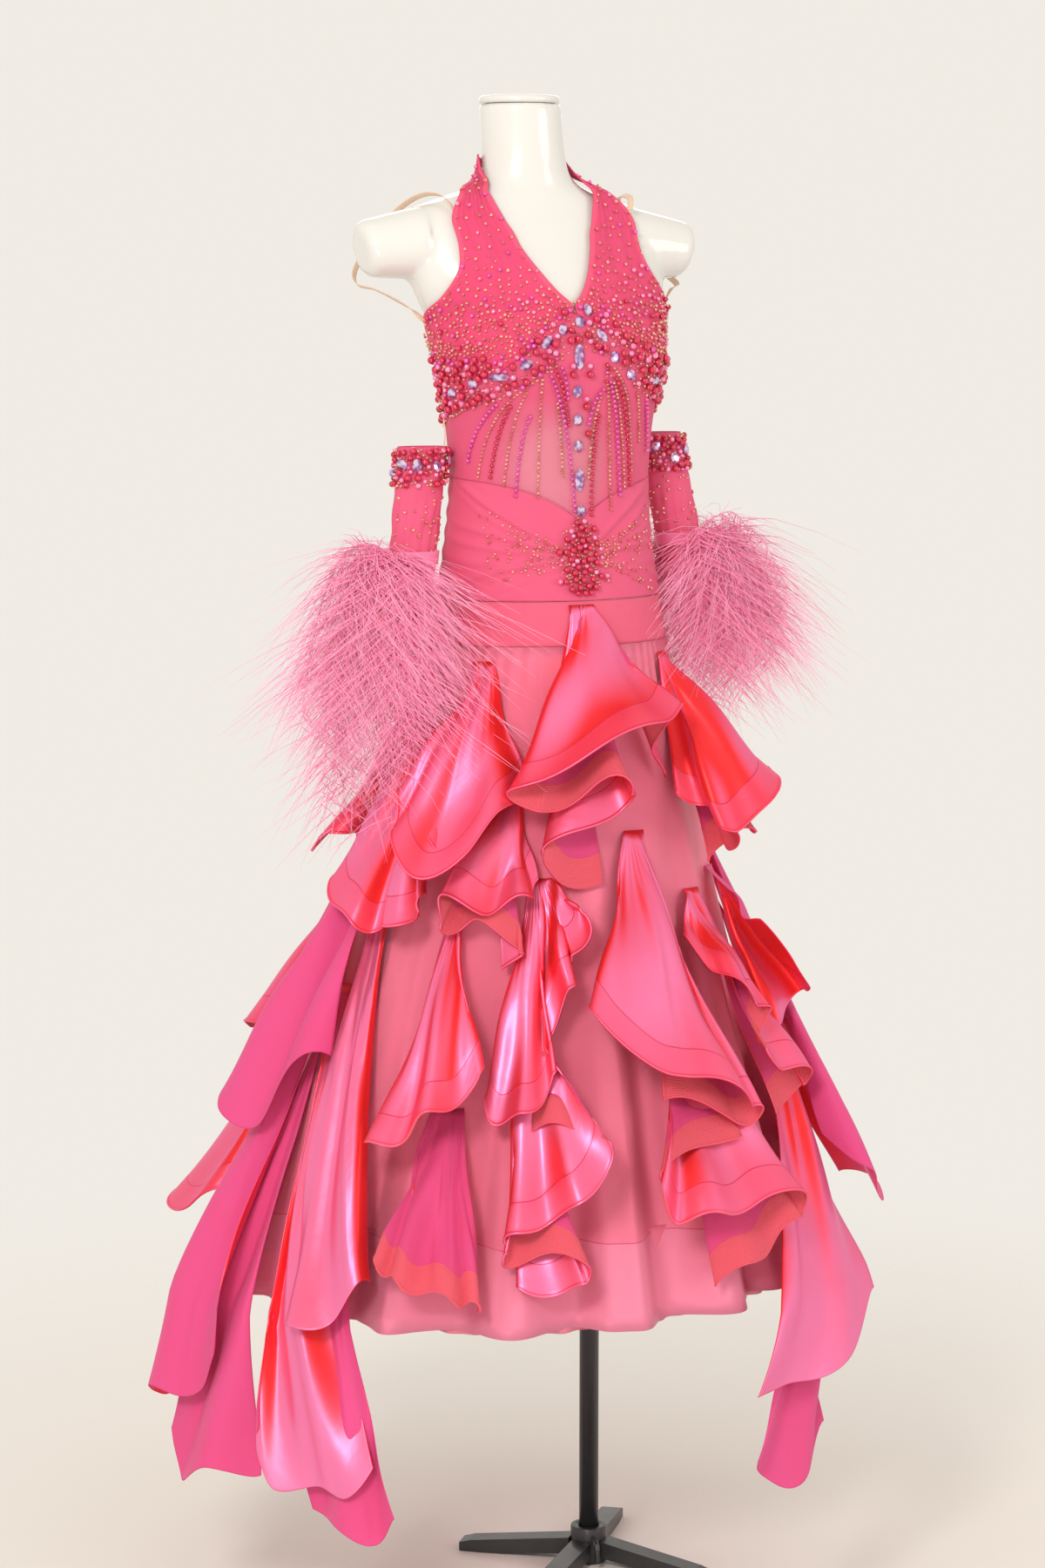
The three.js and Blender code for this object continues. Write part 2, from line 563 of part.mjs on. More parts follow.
function buildFlounces() {
  for (const [name, fan] of Object.entries(flounces)) {
    const across = Math.max(14, Math.round(fan.hem.length * 1.9));
    wall({ name, across, down: 3, material: materials.satin, surface: (u, t) => fanPoint(fan, u, t) });
  }
  for (const [name, fan] of Object.entries(floats)) {
    wall({ name, across: 6, down: 4, material: materials.matte, surface: (u, t) => fanPoint(fan, u, t) });
  }
  backColumns.forEach((column, c) => backTiers.forEach((tier, r) => {
    const turn = column < 0 ? -1 : 1;
    const hem = backHem.map(([az, z, out]) => ({ az: column + turn * az, z: tier.hem + z, out }));
    const fan = { az: column, z: tier.seam, spread: turn * 9, hem };
    wall({ name: `flounce_back_${c + 1}_${r + 1}`, across: 18, down: 2, material: materials.satin,
      surface: (u, t) => fanPoint(fan, u, t) });
  }));
}

// ---- armlets ----

// Each armlet hangs beside the form from a loop of thread on the bodice's side.
// fall and droop give how far its shortest locks hang and how much further its longest do.
const armlets = {
  right: { side: -1, top: [-219, -4, 1392], foot: [-240, -8, 1195], fall: 110, droop: 150 },
  left: { side: 1, top: [103, 36, 1402], foot: [150, 36, 1205], fall: 60, droop: 95 },
};
const armletSize = { wide: 30, deep: 19, taper: 0.12, collar: 46, collarLift: 4 };

function buildArmlets() {
  for (const [name, arm] of Object.entries(armlets)) {
    const top = new THREE.Vector3(...arm.top);
    const foot = new THREE.Vector3(...arm.foot);
    const length = top.distanceTo(foot);
    const surface = (u, t) => {
      const turn = 2 * Math.PI * u;
      const centre = top.clone().lerp(foot, t);
      return centre.add(new THREE.Vector3(armletSize.wide * Math.cos(turn) * (1 - armletSize.taper * t),
        armletSize.deep * Math.sin(turn), 0));
    };
    const collarEnd = armletSize.collar / length;
    const levels = [0, 0.04, collarEnd - 0.02, collarEnd + 0.01, 0.6, 1];
    wall({
      name: `armlet_${name}`, across: 16, down: levels.length - 1, material: materials.mesh,
      closed: true,
      surface: (u, t) => surface(u, levels[Math.round(t * (levels.length - 1))]),
      relief: (u, t) => {
        const level = Math.round(t * (levels.length - 1));
        const lump = 0.7 + 0.3 * Math.cos(2 * Math.PI * 10 * u);
        return level === 1 || level === 2 ? armletSize.collarLift * lump : 0;
      },
    });
    buildPlume(name, arm, surface);
    buildHanger(name, arm);
  }
}

// The feathers: tapered locks that spring from a band round the armlet and droop.
function buildPlume(name, arm, surface) {
  const band = { from: 0.62, to: 0.7, thickness: 2, clear: 1.4 };
  const ring = (t, lift) => Array.from({ length: 16 }, (_, i) => {
    const point = surface(i / 16, t);
    const centre = surface(0, t).lerp(surface(0.5, t), 0.5);
    return point.add(point.clone().sub(centre).normalize().multiplyScalar(lift));
  });
  const inner = cloth / 2 + band.clear;
  const outer = inner + band.thickness;
  const shell = rings([ring(band.to, outer), ring(band.from, outer)]);
  const hole = rings([ring(band.to + 0.05, inner), ring(band.from - 0.05, inner)]);
  let plume = bodyOf(shell).subtract(bodyOf(hole));
  const locks = { count: 38, turn: 137.508, start: 16, inmost: -0.1, reach: 70, outward: 62,
    shorter: 0.35, rise: 34 };
  for (let k = 0; k < locks.count; k += 1) {
    const turn = radians(k * locks.turn + locks.start);
    const outward = arm.side * Math.cos(turn);
    if (outward < locks.inmost) continue;
    const droop = (k % 5) / 4;
    const reach = (locks.reach + locks.outward * Math.max(0, outward)) * (1 - locks.shorter * droop);
    const fall = arm.fall + arm.droop * droop;
    const lift = locks.rise * (1 - droop);
    const angle = Math.atan2(Math.sin(turn) / armletSize.deep, Math.cos(turn) / armletSize.wide);
    const t = mix(band.from, band.to, 0.3 + 0.1 * (k % 5));
    const root = surface(angle / (2 * Math.PI), t);
    const away = new THREE.Vector3(Math.cos(turn), Math.sin(turn), 0);
    root.addScaledVector(away, inner + 0.6);
    plume = plume.add(bodyOf(lock(root, away, reach, fall, lift)));
  }
  const parts = plume.decompose().sort((a, b) => b.volume() - a.volume());
  fromManifold(`armlet_plume_${name}`, parts[0], materials.feather);
}

// One lock: s runs from its root to its tip, and width is its half width there.
const lockSections = [{ s: 0, width: 3.4 }, { s: 0.3, width: 5 }, { s: 0.65, width: 4 },
  { s: 1, width: 1 }];

function lock(root, away, reach, fall, lift) {
  const sideways = new THREE.Vector3(-away.y, away.x, 0);
  return rings(lockSections.map(({ s, width }) => {
    const centre = root.clone().addScaledVector(away, reach * (1 - (1 - s) ** 1.7));
    centre.z += lift * Math.sin(Math.PI * Math.min(1, s * 1.4)) - fall * s ** 1.8;
    return [0, 1, 2].map((i) => {
      const corner = radians(90 + 120 * i);
      return centre.clone().addScaledVector(sideways, width * Math.cos(corner))
        .add(new THREE.Vector3(0, 0, width * 0.8 * Math.sin(corner)));
    });
  }));
}

// A thread runs from the bodice's side into the armlet's mouth.
function buildHanger(name, arm) {
  const radius = 1;
  const clear = radius + cloth / 2 + 0.4;
  const start = offForm(arm.side * 98, 1428, bodiceLift + clear);
  const slope = (arm.foot[0] - arm.top[0]) / (arm.foot[2] - arm.top[2]);
  const inside = (z) => new THREE.Vector3(
    arm.top[0] + (z - arm.top[2]) * slope - arm.side * (armletSize.wide - clear - 0.5), arm.top[1], z);
  const path = new THREE.CatmullRomCurve3([start, inside(arm.top[2] + 8), inside(arm.top[2] - 14)]);
  fromManifold(`hanger_${name}`, toManifold(rod(path, radius, 4, 3)), materials.elastic);
}

// ---- elastic loops over the shoulders ----

// Each loop leaves the halter's outer edge, goes over the shoulder and round the arm stub, and
// joins the bodice's side. Distances are from the shoulders' centre, for the wearer's left.
const loopRoute = [
  { x: 128, y: 24, z: 1683 }, { x: 146, y: 58, z: 1664 }, { x: 172, y: 64, z: 1630 },
  { x: 198, y: 54, z: 1598 }, { x: 206, y: 26, z: 1580 }, { x: 190, y: 8, z: 1574 },
];
const loopWidth = 7;
const loopThickness = 1;
const sewnLift = bodiceLift + cloth / 2 + loopThickness / 2 + 0.5;
const loopRise = 2.1;         // more at the shoulder, where the halter's wall lifts

function buildLoops() {
  for (const [name, side] of [['right', -1], ['left', 1]]) {
    const over = loopRoute.map((p) => new THREE.Vector3(shoulderCentre + side * p.x, p.y, p.z));
    const curve = new THREE.CatmullRomCurve3([offForm(side * 46, 1662, sewnLift + loopRise),
      offForm(side * 57, 1671, sewnLift + 2.5 * loopRise), ...over, offForm(side * 95, 1556, 12),
      offForm(side * 89, 1540, sewnLift)]);
    const middle = new THREE.Vector3(shoulderCentre + side * 165, 10, 1622);
    wall({
      name: `shoulder_loop_${name}`, across: 1, down: 18, material: materials.elastic,
      thickness: loopThickness,
      surface: (u, t) => {
        const point = curve.getPoint(t);
        const away = point.clone().sub(middle).normalize();
        const edge = curve.getTangent(t).cross(away).normalize();
        return point.addScaledVector(edge, loopWidth * (u - 0.5));
      },
    });
  }
}

buildForm();
buildStand();
buildBodice();
buildWaist();
buildSkirt();
buildFlounces();
buildArmlets();
buildLoops();

export default group;
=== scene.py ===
import math

import bmesh
import bpy
import numpy as np
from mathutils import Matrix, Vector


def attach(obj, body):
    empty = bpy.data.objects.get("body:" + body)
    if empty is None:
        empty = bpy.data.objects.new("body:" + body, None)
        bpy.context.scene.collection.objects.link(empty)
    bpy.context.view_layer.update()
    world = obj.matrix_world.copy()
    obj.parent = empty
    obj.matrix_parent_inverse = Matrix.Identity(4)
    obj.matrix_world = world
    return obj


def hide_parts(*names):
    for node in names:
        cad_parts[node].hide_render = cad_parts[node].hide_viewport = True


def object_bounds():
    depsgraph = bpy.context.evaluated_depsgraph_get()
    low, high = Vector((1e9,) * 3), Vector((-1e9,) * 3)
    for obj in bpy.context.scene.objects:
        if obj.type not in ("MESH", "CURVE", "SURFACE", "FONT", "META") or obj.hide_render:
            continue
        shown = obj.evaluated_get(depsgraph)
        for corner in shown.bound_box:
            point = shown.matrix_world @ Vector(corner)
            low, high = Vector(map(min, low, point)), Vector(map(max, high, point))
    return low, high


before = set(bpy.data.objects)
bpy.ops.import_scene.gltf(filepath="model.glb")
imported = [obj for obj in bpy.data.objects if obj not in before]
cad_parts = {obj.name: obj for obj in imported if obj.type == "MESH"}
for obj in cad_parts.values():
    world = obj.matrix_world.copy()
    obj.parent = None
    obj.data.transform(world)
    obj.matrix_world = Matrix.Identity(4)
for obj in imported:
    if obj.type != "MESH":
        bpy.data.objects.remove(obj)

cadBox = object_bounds()
mm = 0.001
upwards = np.array([0, 0, 1.0])
print("frame loaded:", len(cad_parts), "solids")

# The wearer faces -Y and the wearer's left is +X. Tables and lengths below are in millimetres.

view = {"distance": 4.346, "height": 1.59, "azimuth": -24, "pitch": 8, "turn": 1.09, "lens": 83.0,
        "sensor": 36}
room = {"background": (0.90, 0.86, 0.80), "strength": 0.97, "floor": (0.78, 0.74, 0.69),
        "floorRadius": 2.4, "floorSides": 96, "fadeFrom": 0.35, "lampAim": (-0.05, 0, 1.0)}
lamps = [
    {"name": "key", "at": (-2.3, -2.6, 2.7), "size": 0.9, "watts": 66, "colour": (1, 0.97, 0.93)},
    {"name": "fill", "at": (2.4, -2.9, 1.7), "size": 2.0, "watts": 24, "colour": (1, 0.98, 0.97)},
    {"name": "back", "at": (0.9, 2.6, 2.6), "size": 1.8, "watts": 10, "colour": (1, 0.98, 0.95)},
    {"name": "low", "at": (-1.6, -2.6, 0.35), "size": 1.2, "watts": 9, "colour": (1, 0.96, 0.94)},
]


def addCamera():
    data = bpy.data.cameras.new("camera")
    data.lens = view["lens"]
    data.sensor_width = view["sensor"]
    data.sensor_height = view["sensor"]
    data.sensor_fit = "AUTO"
    camera = bpy.data.objects.new("camera", data)
    turn = math.radians(view["azimuth"])
    camera.location = (view["distance"] * math.sin(turn), -view["distance"] * math.cos(turn), view["height"])
    camera.rotation_euler = (math.radians(90 - view["pitch"]), 0,
                             math.radians(view["azimuth"] + view["turn"]))
    bpy.context.scene.collection.objects.link(camera)
    bpy.context.scene.camera = camera


def addLamps():
    for lamp in lamps:
        data = bpy.data.lights.new(lamp["name"], "AREA")
        data.shape = "DISK"
        data.size = lamp["size"]
        data.energy = lamp["watts"]
        data.color = lamp["colour"]
        light = bpy.data.objects.new(lamp["name"], data)
        light.location = lamp["at"]
        away = np.array(lamp["at"]) - np.array(room["lampAim"])
        light.rotation_euler = (math.atan2(math.hypot(away[0], away[1]), away[2]), 0,
                                math.atan2(away[0], -away[1]))
        bpy.context.scene.collection.objects.link(light)
    world = bpy.data.worlds.new("studio")
    world.use_nodes = True
    back = world.node_tree.nodes["Background"]
    back.inputs["Color"].default_value = (*room["background"], 1)
    back.inputs["Strength"].default_value = room["strength"]
    bpy.context.scene.world = world
    bpy.context.scene.view_settings.view_transform = "Standard"


def rowsOf(columns, rows):  # a table whose columns are named once
    return [dict(zip(columns, row)) for row in rows]


sizes = {"neckTop": 1800, "neckCap": 9, "formBottom": 1000, "yokeTop": 1212, "yokeBottom": 1160, "hem": 400,
         "cloth": 1.5, "seamGap": 0.3, "bodiceLift": 4.9, "skirtWaves": 16, "flounceRise": 2.3}

# Sections of the form and the skirt: half width a, half depth b and middle at each height. az is
# an angle in degrees from the front towards the wearer's left.
formSections = rowsOf(("z", "a", "b", "x", "y"), [
    (1000, 150, 108, -56, 0), (1060, 157, 113, -56, 0), (1150, 143, 104, -56, 0),
    (1200, 134, 98, -56, 0), (1270, 124, 89, -56, 0), (1338, 118, 83, -56, -2),
    (1400, 121, 86, -57, -4), (1440, 126, 90, -58, -6), (1490, 135, 94, -60, -8),
    (1540, 146, 92, -65, -5), (1585, 160, 83, -71, 0), (1620, 166, 71, -76, 5), (1650, 164, 62, -79, 9),
    (1668, 144, 56, -80, 12), (1682, 104, 52, -80, 13), (1693, 70, 51, -80, 14),
    (1708, 54, 50, -81, 14), (1740, 49, 48, -83, 15), (1800, 48, 48, -87, 16)])

bust = {"z": 1492, "az": 36, "lift": 15, "height": 46, "width": 25}

# The halter fronts from the neck down: inner edge, outer edge and how far the middle sags.
halterRows = rowsOf(("az", "z", "azOut", "zOut", "sag"), [
    (100, 1732, 108, 1718, 0), (86, 1715, 98, 1702, 0), (58, 1695, 80, 1690, 0),
    (28, 1673, 51, 1674, 0), (18, 1645, 44, 1648, 0), (15, 1620, 43, 1622, 0), (11, 1595, 48, 1594, 0),
    (6, 1572, 64, 1566, 4), (0.9, 1557, 92, 1540, 8), (0.5, 1552, 102, 1490, 20),
    (0.5, 1546, 106, 1440, 26)])

skirtSections = rowsOf(("z", "a", "b", "x", "wave"), [
    (100, 440, 415, -102, 20), (400, 378, 352, -96, 20), (590, 307, 275, -84, 12),
    (790, 239, 200, -72, 5), (980, 184, 143, -62, 1), (1160, 146.5, 108, -56, 0),
    (1212, 137.5, 101, -56, 0)])

# Flounces and floats: the middle of the seam, its spread in degrees, and the hem from edge to edge
# as az, height and distance out of the skirt. flare and fall bend the way down.
flounces = {
    "flounce_front_1": {"az": -1, "z": 1208, "spread": -13, "fall": 1.5, "hem": [
        (31, 998, 14), (22, 1050, 32), (27, 1088, 66), (12, 1082, 96), (-5, 1058, 110), (-19, 1030, 98),
        (-28, 1000, 76), (-22, 972, 54), (-13, 992, 58), (0, 1014, 84), (6, 998, 78), (2, 978, 60),
        (-11, 952, 43), (-20, 922, 29), (-13, 896, 17), (1, 886, 9)]},
    "flounce_front_2": {"az": -19, "z": 896, "spread": -7, "hem": [
        (-10, 868, 26), (-7, 845, 46), (-11, 808, 36), (-11, 785, 48), (-15, 752, 38), (-18, 712, 32),
        (-16, 682, 48), (-22, 648, 56), (-28, 640, 44), (-30, 662, 22)]},
    "flounce_front_3": {"az": -22, "z": 760, "spread": -5, "flare": 1.1, "fall": 0.8, "hem": [
        (-20, 626, 30), (-13, 634, 48), (-9, 630, 64), (-6, 607, 76), (-9, 578, 74), (-13, 546, 60),
        (-19, 530, 48), (-25, 508, 38), (-24, 488, 28), (-17, 494, 34), (-11, 486, 44), (-10, 468, 34),
        (-14, 450, 20), (-22, 458, 8)]},
    "flounce_right_1": {"az": -49, "z": 1143, "spread": -11, "fall": 1.1, "hem": [
        (-24, 1000, 22), (-31, 984, 70), (-38, 932, 104), (-49, 916, 108), (-59, 954, 94),
        (-62, 1000, 64), (-54, 1012, 42), (-43, 996, 44), (-39, 968, 66), (-46, 940, 80),
        (-53, 960, 74)]},
    "flounce_right_2": {"az": -33, "z": 1016, "spread": -9, "hem": [
        (-20, 892, 18), (-23, 884, 42), (-33, 870, 60), (-44, 880, 62), (-46, 846, 46), (-36, 850, 40),
        (-23, 824, 34), (-29, 792, 16)]},
    "flounce_right_3": {"az": -46, "z": 896, "spread": -6, "hem": [
        (-51, 650, 26), (-53, 608, 54), (-46, 622, 82), (-37, 660, 86), (-31, 686, 66), (-34, 702, 42),
        (-40, 688, 24)]},
    "flounce_right_4": {"az": -40, "z": 640, "spread": 7, "fall": 1, "hem": [
        (-46, 505, 30), (-46, 484, 48), (-41, 466, 54), (-36, 458, 50), (-30, 446, 40), (-28, 440, 22)]},
    "flounce_hip_right": {"az": -74, "z": 1092, "spread": 9, "hem": [
        (-88, 905, 28), (-89, 888, 58), (-81, 864, 72), (-72, 842, 54), (-63, 838, 46), (-56, 852, 62),
        (-51, 866, 54), (-55, 884, 34), (-64, 888, 18)]},
    "flounce_left_1": {"az": 51, "z": 1146, "spread": 11, "hem": [
        (36, 985, 14), (38, 965, 46), (34, 948, 86), (42, 962, 112), (56, 1000, 116), (67, 1000, 102),
        (70, 974, 74), (61, 956, 66), (50, 940, 84), (44, 930, 64), (51, 915, 46), (57, 910, 32),
        (50, 898, 14)]},
    "flounce_left_2": {"az": 16, "z": 944, "spread": 8, "hem": [
        (-6, 768, 32), (-8, 752, 64), (3, 702, 92), (14, 676, 98), (25, 640, 86), (25, 620, 66),
        (17, 636, 50), (8, 656, 40)]},
    "flounce_left_3": {"az": 40, "z": 868, "spread": 7, "hem": [
        (27, 824, 14), (27, 790, 46), (30, 764, 72), (41, 730, 66), (37, 696, 52), (42, 664, 62),
        (53, 642, 62), (55, 620, 46), (45, 606, 28)]},
    "flounce_left_4": {"az": 20, "z": 742, "spread": -6, "hem": [
        (24, 602, 54), (12, 598, 42), (4, 562, 44), (7, 526, 52), (15, 526, 62), (24, 540, 76),
        (32, 526, 72), (35, 506, 58), (30, 482, 44), (22, 456, 28), (16, 438, 12)]},
}
floats = {
    "float_right_1": {"az": -90, "z": 1080, "spread": 10, "fall": 1, "hem": [
        (-102, 640, 82), (-95, 602, 84), (-86, 612, 66), (-80, 668, 50), (-73, 690, 34)]},
    "float_right_2": {"az": -82, "z": 905, "spread": 8, "hem": [
        (-64, 394, 22), (-59, 400, 40), (-54, 424, 50), (-50, 446, 44), (-48, 464, 30)]},
    "float_right_3": {"az": -101, "z": 905, "spread": 6, "fall": 1, "hem": [
        (-97, 282, 50), (-92, 284, 64), (-85, 290, 58), (-79, 320, 44), (-78, 345, 34)]},
    "float_right_4": {"az": -90, "z": 690, "spread": 4, "hem": [
        (-88, 236, 38), (-82, 206, 42), (-74, 214, 30), (-67, 234, 18)]},
    "float_right_5": {"az": -86, "z": 760, "spread": 6, "hem": [
        (-64, 286, 18), (-60, 226, 22), (-53, 222, 22), (-48, 230, 20), (-44, 258, 14)]},
    "float_right_6": {"az": -62, "z": 500, "spread": 4, "hem": [
        (-56, 208, 6), (-49, 175, 9), (-43, 182, 8), (-40, 194, 6)]},
    "float_left_1": {"az": 63, "z": 884, "spread": 7, "fall": 1, "hem": [
        (47, 812, 52), (54, 780, 82), (61, 748, 92), (66, 724, 72), (61, 704, 50), (57, 694, 36),
        (62, 688, 24)]},
    "float_left_2": {"az": 88, "z": 960, "spread": 8, "hem": [
        (63, 560, 60), (58, 508, 96), (64, 486, 106), (73, 470, 84), (80, 480, 56)]},
    "float_left_3": {"az": 86, "z": 850, "spread": 5, "fall": 0.7, "hem": [
        (19, 318, 20), (25, 310, 30), (32, 312, 38), (40, 330, 44), (49, 350, 50), (57, 370, 54)]},
    "float_left_4": {"az": 66, "z": 560, "spread": 4, "fall": 0.6, "hem": [
        (18, 246, 10), (20, 216, 12), (25, 204, 14), (32, 214, 14), (39, 242, 12)]},
}

backTiers = rowsOf(("seam", "hem"), [
    (1120, 915), (940, 690), (735, 465)])

# The back's hems are measured from their own column and tier.
backHem = [
    (-22, 26, 8), (-23, 6, 60), (-11, -14, 90), (2, -10, 86), (6, 4, 64), (-4, 10, 46), (-9, 2, 34),
    (3, -12, 28), (14, -4, 42), (17, 8, 70), (22, 16, 50), (20, 30, 10)]

armlets = {
    "right": {"side": -1, "top": [-219, -4, 1392], "foot": [-240, -8, 1195], "fall": 110, "droop": 150},
    "left": {"side": 1, "top": [103, 36, 1402], "foot": [150, 36, 1205], "fall": 60, "droop": 95},
}

loopRoute = rowsOf(("x", "y", "z"), [
    (128, 24, 1683), (146, 58, 1664), (172, 64, 1630), (198, 54, 1598), (206, 26, 1580), (190, 8, 1574)])


def columnOf(table, name):
    return np.array([row[name] for row in table], float)


def readSmooth(table, name, at):  # a cubic through the rows, with central slopes
    z = columnOf(table, "z")
    value = columnOf(table, name)
    last = len(z) - 1
    at = np.clip(at, z[0], z[last])
    i = np.clip(np.searchsorted(z, at, side="left") - 1, 0, last - 1)
    low = np.maximum(np.arange(last + 1) - 1, 0)
    high = np.minimum(np.arange(last + 1) + 1, last)
    slope = (value[high] - value[low]) / (z[high] - z[low])
    span = z[i + 1] - z[i]
    s = (at - z[i]) / span
    return ((2 * s**3 - 3 * s**2 + 1) * value[i] + (s**3 - 2 * s**2 + s) * slope[i] * span
            + (3 * s**2 - 2 * s**3) * value[i + 1] + (s**3 - s**2) * slope[i + 1] * span)


def readStraight(table, name, at):
    return np.interp(at, columnOf(table, "z"), columnOf(table, name))


def readAlong(rows, u):  # a Catmull-Rom curve through rows of numbers
    rows = np.array(rows, float)
    spans = len(rows) - 1
    u = np.asarray(u, float)
    i = np.minimum(spans - 1, np.floor(u * spans)).astype(int)
    s = (u * spans - i)[..., None]
    a = rows[np.clip(i - 1, 0, spans)]
    b = rows[i]
    c = rows[np.clip(i + 1, 0, spans)]
    d = rows[np.clip(i + 2, 0, spans)]
    return 0.5 * (2 * b + (c - a) * s + (2 * a - 5 * b + 4 * c - d) * s**2
                  + (3 * b - a - 3 * c + d) * s**3)


def bell(distance, width):
    return np.exp(-(np.asarray(distance, float) / width) ** 2)


def mix(a, b, s):
    return a + (b - a) * s


def ease(low, high, value):
    s = np.clip((np.asarray(value, float) - low) / (high - low), 0, 1)
    return s * s * (3 - 2 * s)


def unit(vectors):
    return vectors / np.maximum(np.linalg.norm(vectors, axis=-1, keepdims=True), 1e-9)


def grid(across, down, rows=None, closed=False):  # u along a row, t down the columns
    u = np.arange(across) / across if closed else np.linspace(0, 1, across + 1)
    t = np.linspace(0, 1, down + 1) if rows is None else np.asarray(rows, float)
    return np.meshgrid(u, t)


def meshOf(name, points, faces, corners=None, slots=None):
    faces = np.asarray(faces, np.int32)
    mesh = bpy.data.meshes.new(name)
    mesh.vertices.add(len(points))
    mesh.vertices.foreach_set("co", (np.asarray(points, np.float64) * mm).astype(np.float32).ravel())
    mesh.loops.add(faces.size)
    mesh.loops.foreach_set("vertex_index", faces.ravel())
    mesh.polygons.add(len(faces))
    mesh.polygons.foreach_set("loop_start", np.arange(len(faces), dtype=np.int32) * faces.shape[1])
    mesh.polygons.foreach_set("use_smooth", np.ones(len(faces), bool))
    if slots is not None:
        mesh.polygons.foreach_set("material_index", np.asarray(slots, np.int32))
    if corners is not None:
        layer = mesh.uv_layers.new(name="cut")
        layer.data.foreach_set("uv", (corners * mm).astype(np.float32).ravel())
    mesh.update(calc_edges=True)
    mesh.validate()
    return mesh


def addPiece(name, mesh, materials, replaces=()):
    for material in materials:
        mesh.materials.append(material)
    piece = bpy.data.objects.new(name, mesh)
    bpy.context.scene.collection.objects.link(piece)
    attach(piece, "root")
    if replaces:
        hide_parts(*replaces)
    return piece


def slopesOf(middle, closed):  # the shell's outward direction at each point
    if closed:
        over = np.roll(middle, -1, axis=1) - np.roll(middle, 1, axis=1)
    else:
        over = np.gradient(middle, axis=1)
    fall = np.gradient(middle, axis=0)
    return -unit(np.cross(over, fall))


def cutOf(middle, closed):  # lengths along the rows and up the columns from the last row
    wrapped = np.concatenate([middle, middle[:, :1]], axis=1) if closed else middle
    steps = np.linalg.norm(np.diff(wrapped, axis=1), axis=2)
    rows = np.concatenate([np.zeros((len(middle), 1)), np.cumsum(steps, axis=1)], axis=1)
    rows = rows - rows[:, -1:] / 2
    drops = np.linalg.norm(np.diff(wrapped, axis=0), axis=2)
    below = np.concatenate([np.cumsum(drops[::-1], axis=0)[::-1], np.zeros((1, wrapped.shape[1]))])
    return np.stack([rows, below], axis=2)


# A thin closed shell round a grid of points. outer and inner are its half thicknesses. Its
# outside takes the first material and its inside the second.
def shellOf(name, middle, outer=0.5, inner=0.5, closed=False, marks=None):
    rows, columns = middle.shape[:2]
    out = slopesOf(middle, closed)
    outerSide = middle + out * np.broadcast_to(outer, (rows, columns))[..., None]
    innerSide = middle - out * np.broadcast_to(inner, (rows, columns))[..., None]
    cut = cutOf(middle, closed)
    across = columns if closed else columns - 1
    j, i = np.meshgrid(np.arange(rows - 1), np.arange(across), indexing="ij")
    j = j.ravel()
    i = i.ravel()
    k = (i + 1) % columns
    shift = rows * columns
    face = np.stack([j * columns + i, (j + 1) * columns + i, (j + 1) * columns + k,
                     j * columns + k], axis=1)
    spots = np.stack([cut[j, i], cut[j + 1, i], cut[j + 1, i + 1], cut[j, i + 1]], axis=1)
    faces = [face, face[:, ::-1] + shift]
    corners = [spots, spots[:, ::-1]]
    outside = np.zeros(len(face)) if marks is None else marks.ravel()
    slots = [outside, np.ones(len(face))]

    def rim(a, b, spotA, spotB, flip):
        strip = np.stack([a, b, b + shift, a + shift], axis=1)
        spot = np.stack([spotA, spotB, spotB, spotA], axis=1)
        faces.append(strip[:, ::-1] if flip else strip)
        corners.append(spot[:, ::-1] if flip else spot)
        slots.append(np.zeros(len(strip)))

    run = np.arange(across)
    nextRun = (run + 1) % columns
    top = (rows - 1) * columns
    rim(run, nextRun, cut[0, run], cut[0, run + 1], False)
    rim(top + run, top + nextRun, cut[-1, run], cut[-1, run + 1], True)
    if not closed:
        down = np.arange(rows - 1)
        left = down * columns
        right = left + columns - 1
        rim(left, left + columns, cut[down, 0], cut[down + 1, 0], True)
        rim(right, right + columns, cut[down, -1], cut[down + 1, -1], False)
    points = np.concatenate([outerSide.reshape(-1, 3), innerSide.reshape(-1, 3)])
    return meshOf(name, points, np.concatenate(faces), np.concatenate(corners),
                  np.concatenate(slots))


# A soft trough or ridge in a shell. at is its place along the row, lean its drift down the
# cloth, wide its half width there, deep its height (negative sinks it).
def creases(u, t, rows):
    total = np.zeros_like(u)
    for row in rows:
        line = row["at"] + row.get("lean", 0) * (t - row["top"])
        reach = ease(row["top"], row["top"] + 0.12, t) * (1 - ease(row["foot"] - 0.15, row["foot"], t))
        total += row["deep"] * reach * bell(u - line, row["wide"])
    return total


def looseCreases(seed, plan):  # creases of uneven place, length, width and depth
    draw = np.random.default_rng(seed)
    rows = []
    for k in range(plan["creases"]):
        top = draw.uniform(0.0, 0.4)
        rows.append({"at": (k + draw.uniform(0.2, 0.8)) / plan["creases"],
                     "lean": draw.uniform(-0.12, 0.12), "top": top,
                     "foot": min(1.15, top + draw.uniform(0.4, 0.9)),
                     "wide": plan["creaseWide"] * draw.uniform(0.6, 1.5),
                     "deep": plan["creaseDeep"] * draw.choice([-1, 1]) * draw.uniform(0.4, 1.0)})
    return rows


# One cloth piece. faces names the looks of its outside and inside, or one look for both.
def addCloth(name, middle, faces, replaces, outer=0.5, inner=0.5, closed=False,
             marks=None):
    if len(faces) == 1:
        faces = faces * 2
    mesh = shellOf(name, middle, outer, inner, closed, marks)
    piece = addPiece(name, mesh, [looks[face] for face in faces], [replaces])


def feed(tree, socket, value):  # a link from another socket, or a plain value
    if isinstance(value, bpy.types.NodeSocket):
        tree.links.new(value, socket)
    else:
        socket.default_value = value


